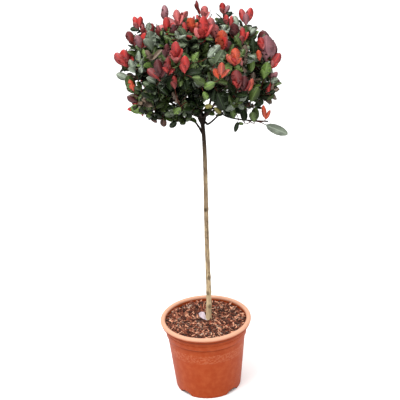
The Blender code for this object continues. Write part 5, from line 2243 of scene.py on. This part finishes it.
def build_stage():
    """A pale floor, even light from a ceiling, a soft light over the left front, and the camera."""
    studio = settings().studio
    scene = bpy.context.scene
    corners = [(FLOOR_HALF * x, FLOOR_HALF * y, 0) for x, y in ((-1, -1), (1, -1), (1, 1), (-1, 1))]
    floor = add_object("floor", corners, [(0, 1, 2, 3)])
    made = Finish("pale_floor", roughness=0.9, specular=0.1)
    patches = made.mottle(rgba(studio.floor), rgba(studio.floor, 0.985), scale=3.0, softness=0.3)
    made.feed("Base Color", patches)
    floor.data.materials.append(made.material)
    world = bpy.data.worlds.new("studio")
    world.use_nodes = True
    background = world.node_tree.nodes["Background"]
    background.inputs["Color"].default_value = (1, 1, 1, 1)
    background.inputs["Strength"].default_value = studio.sky
    scene.world = world
    for name, (place, aim, size) in LIGHTS.items():
        add_light(name, place, aim, size, getattr(studio, name))
    camera = bpy.data.cameras.new("camera")
    camera.lens = LENS
    camera.sensor_width = SENSOR
    camera.clip_end = CLIP_END
    scene.camera = put_in("camera", camera)
    scene.camera.matrix_world = Matrix.Translation(EYE) @ VIEW_TURNED.to_4x4()
    scene.view_settings.view_transform = "Standard"


# Operators and the panel.


class SHRUB_OT_pot(Operator):
    """Turns the moulded pot and cuts its notches and drain holes"""

    bl_idname = "shrub.pot"
    bl_label = "Pot"
    bl_options = {"REGISTER", "UNDO"}

    def execute(self, context):
        build_pot()
        return {"FINISHED"}


class SHRUB_OT_compost(Operator):
    """Fills the pot with compost and lays the bark chips and the pale chip on it"""

    bl_idname = "shrub.compost"
    bl_label = "Compost"
    bl_options = {"REGISTER", "UNDO"}

    def execute(self, context):
        build_compost()
        scatter_chips()
        build_pale_chip()
        return {"FINISHED"}


class SHRUB_OT_trunk(Operator):
    """Makes the trunk with its bark"""

    bl_idname = "shrub.trunk"
    bl_label = "Trunk"
    bl_options = {"REGISTER", "UNDO"}

    def execute(self, context):
        build_trunk()
        return {"FINISHED"}


class SHRUB_OT_boughs(Operator):
    """Makes the boughs that leave the trunk"""

    bl_idname = "shrub.boughs"
    bl_label = "Boughs"
    bl_options = {"REGISTER", "UNDO"}

    def execute(self, context):
        build_boughs()
        return {"FINISHED"}


class SHRUB_OT_twigs(Operator):
    """Makes the twigs and the fine shoots"""

    bl_idname = "shrub.twigs"
    bl_label = "Twigs"
    bl_options = {"REGISTER", "UNDO"}

    def execute(self, context):
        build_twigs()
        return {"FINISHED"}


class SHRUB_OT_leaves(Operator):
    """Makes the old and the young leaves"""

    bl_idname = "shrub.leaves"
    bl_label = "Leaves"
    bl_options = {"REGISTER", "UNDO"}

    def execute(self, context):
        build_leaves()
        return {"FINISHED"}


class SHRUB_OT_stage(Operator):
    """Sets the floor, the light and the camera"""

    bl_idname = "shrub.stage"
    bl_label = "Stage"
    bl_options = {"REGISTER", "UNDO"}

    def execute(self, context):
        build_stage()
        return {"FINISHED"}


OPERATORS = (
    SHRUB_OT_pot,
    SHRUB_OT_compost,
    SHRUB_OT_trunk,
    SHRUB_OT_boughs,
    SHRUB_OT_twigs,
    SHRUB_OT_leaves,
    SHRUB_OT_stage,
)


class SHRUB_PT_panel(Panel):
    """The shrub's steps and settings"""

    bl_label = "Shrub"
    bl_idname = "SHRUB_PT_panel"
    bl_space_type = "VIEW_3D"
    bl_region_type = "UI"
    bl_category = "Shrub"

    def draw(self, context):
        for operator in OPERATORS:
            self.layout.operator(operator.bl_idname)
        for group in ("pot", "compost", "wood", "leaf", "studio"):
            values = getattr(context.scene.potted_shrub, group)
            box = self.layout.box()
            box.label(text=group.title())
            for name in values.__annotations__:
                box.prop(values, name)


CLASSES = (
    PotSettings,
    CompostSettings,
    WoodSettings,
    LeafSettings,
    StudioSettings,
    ShrubSettings,
    *OPERATORS,
    SHRUB_PT_panel,
)


def register():
    for made in CLASSES:
        bpy.utils.register_class(made)
    bpy.types.Scene.potted_shrub = PointerProperty(type=ShrubSettings)


def unregister():
    del bpy.types.Scene.potted_shrub
    for made in reversed(CLASSES):
        bpy.utils.unregister_class(made)


def main():
    register()
    for operator in OPERATORS:
        family, step = operator.bl_idname.split(".")
        getattr(getattr(bpy.ops, family), step)()


if __name__ == "__main__":
    main()
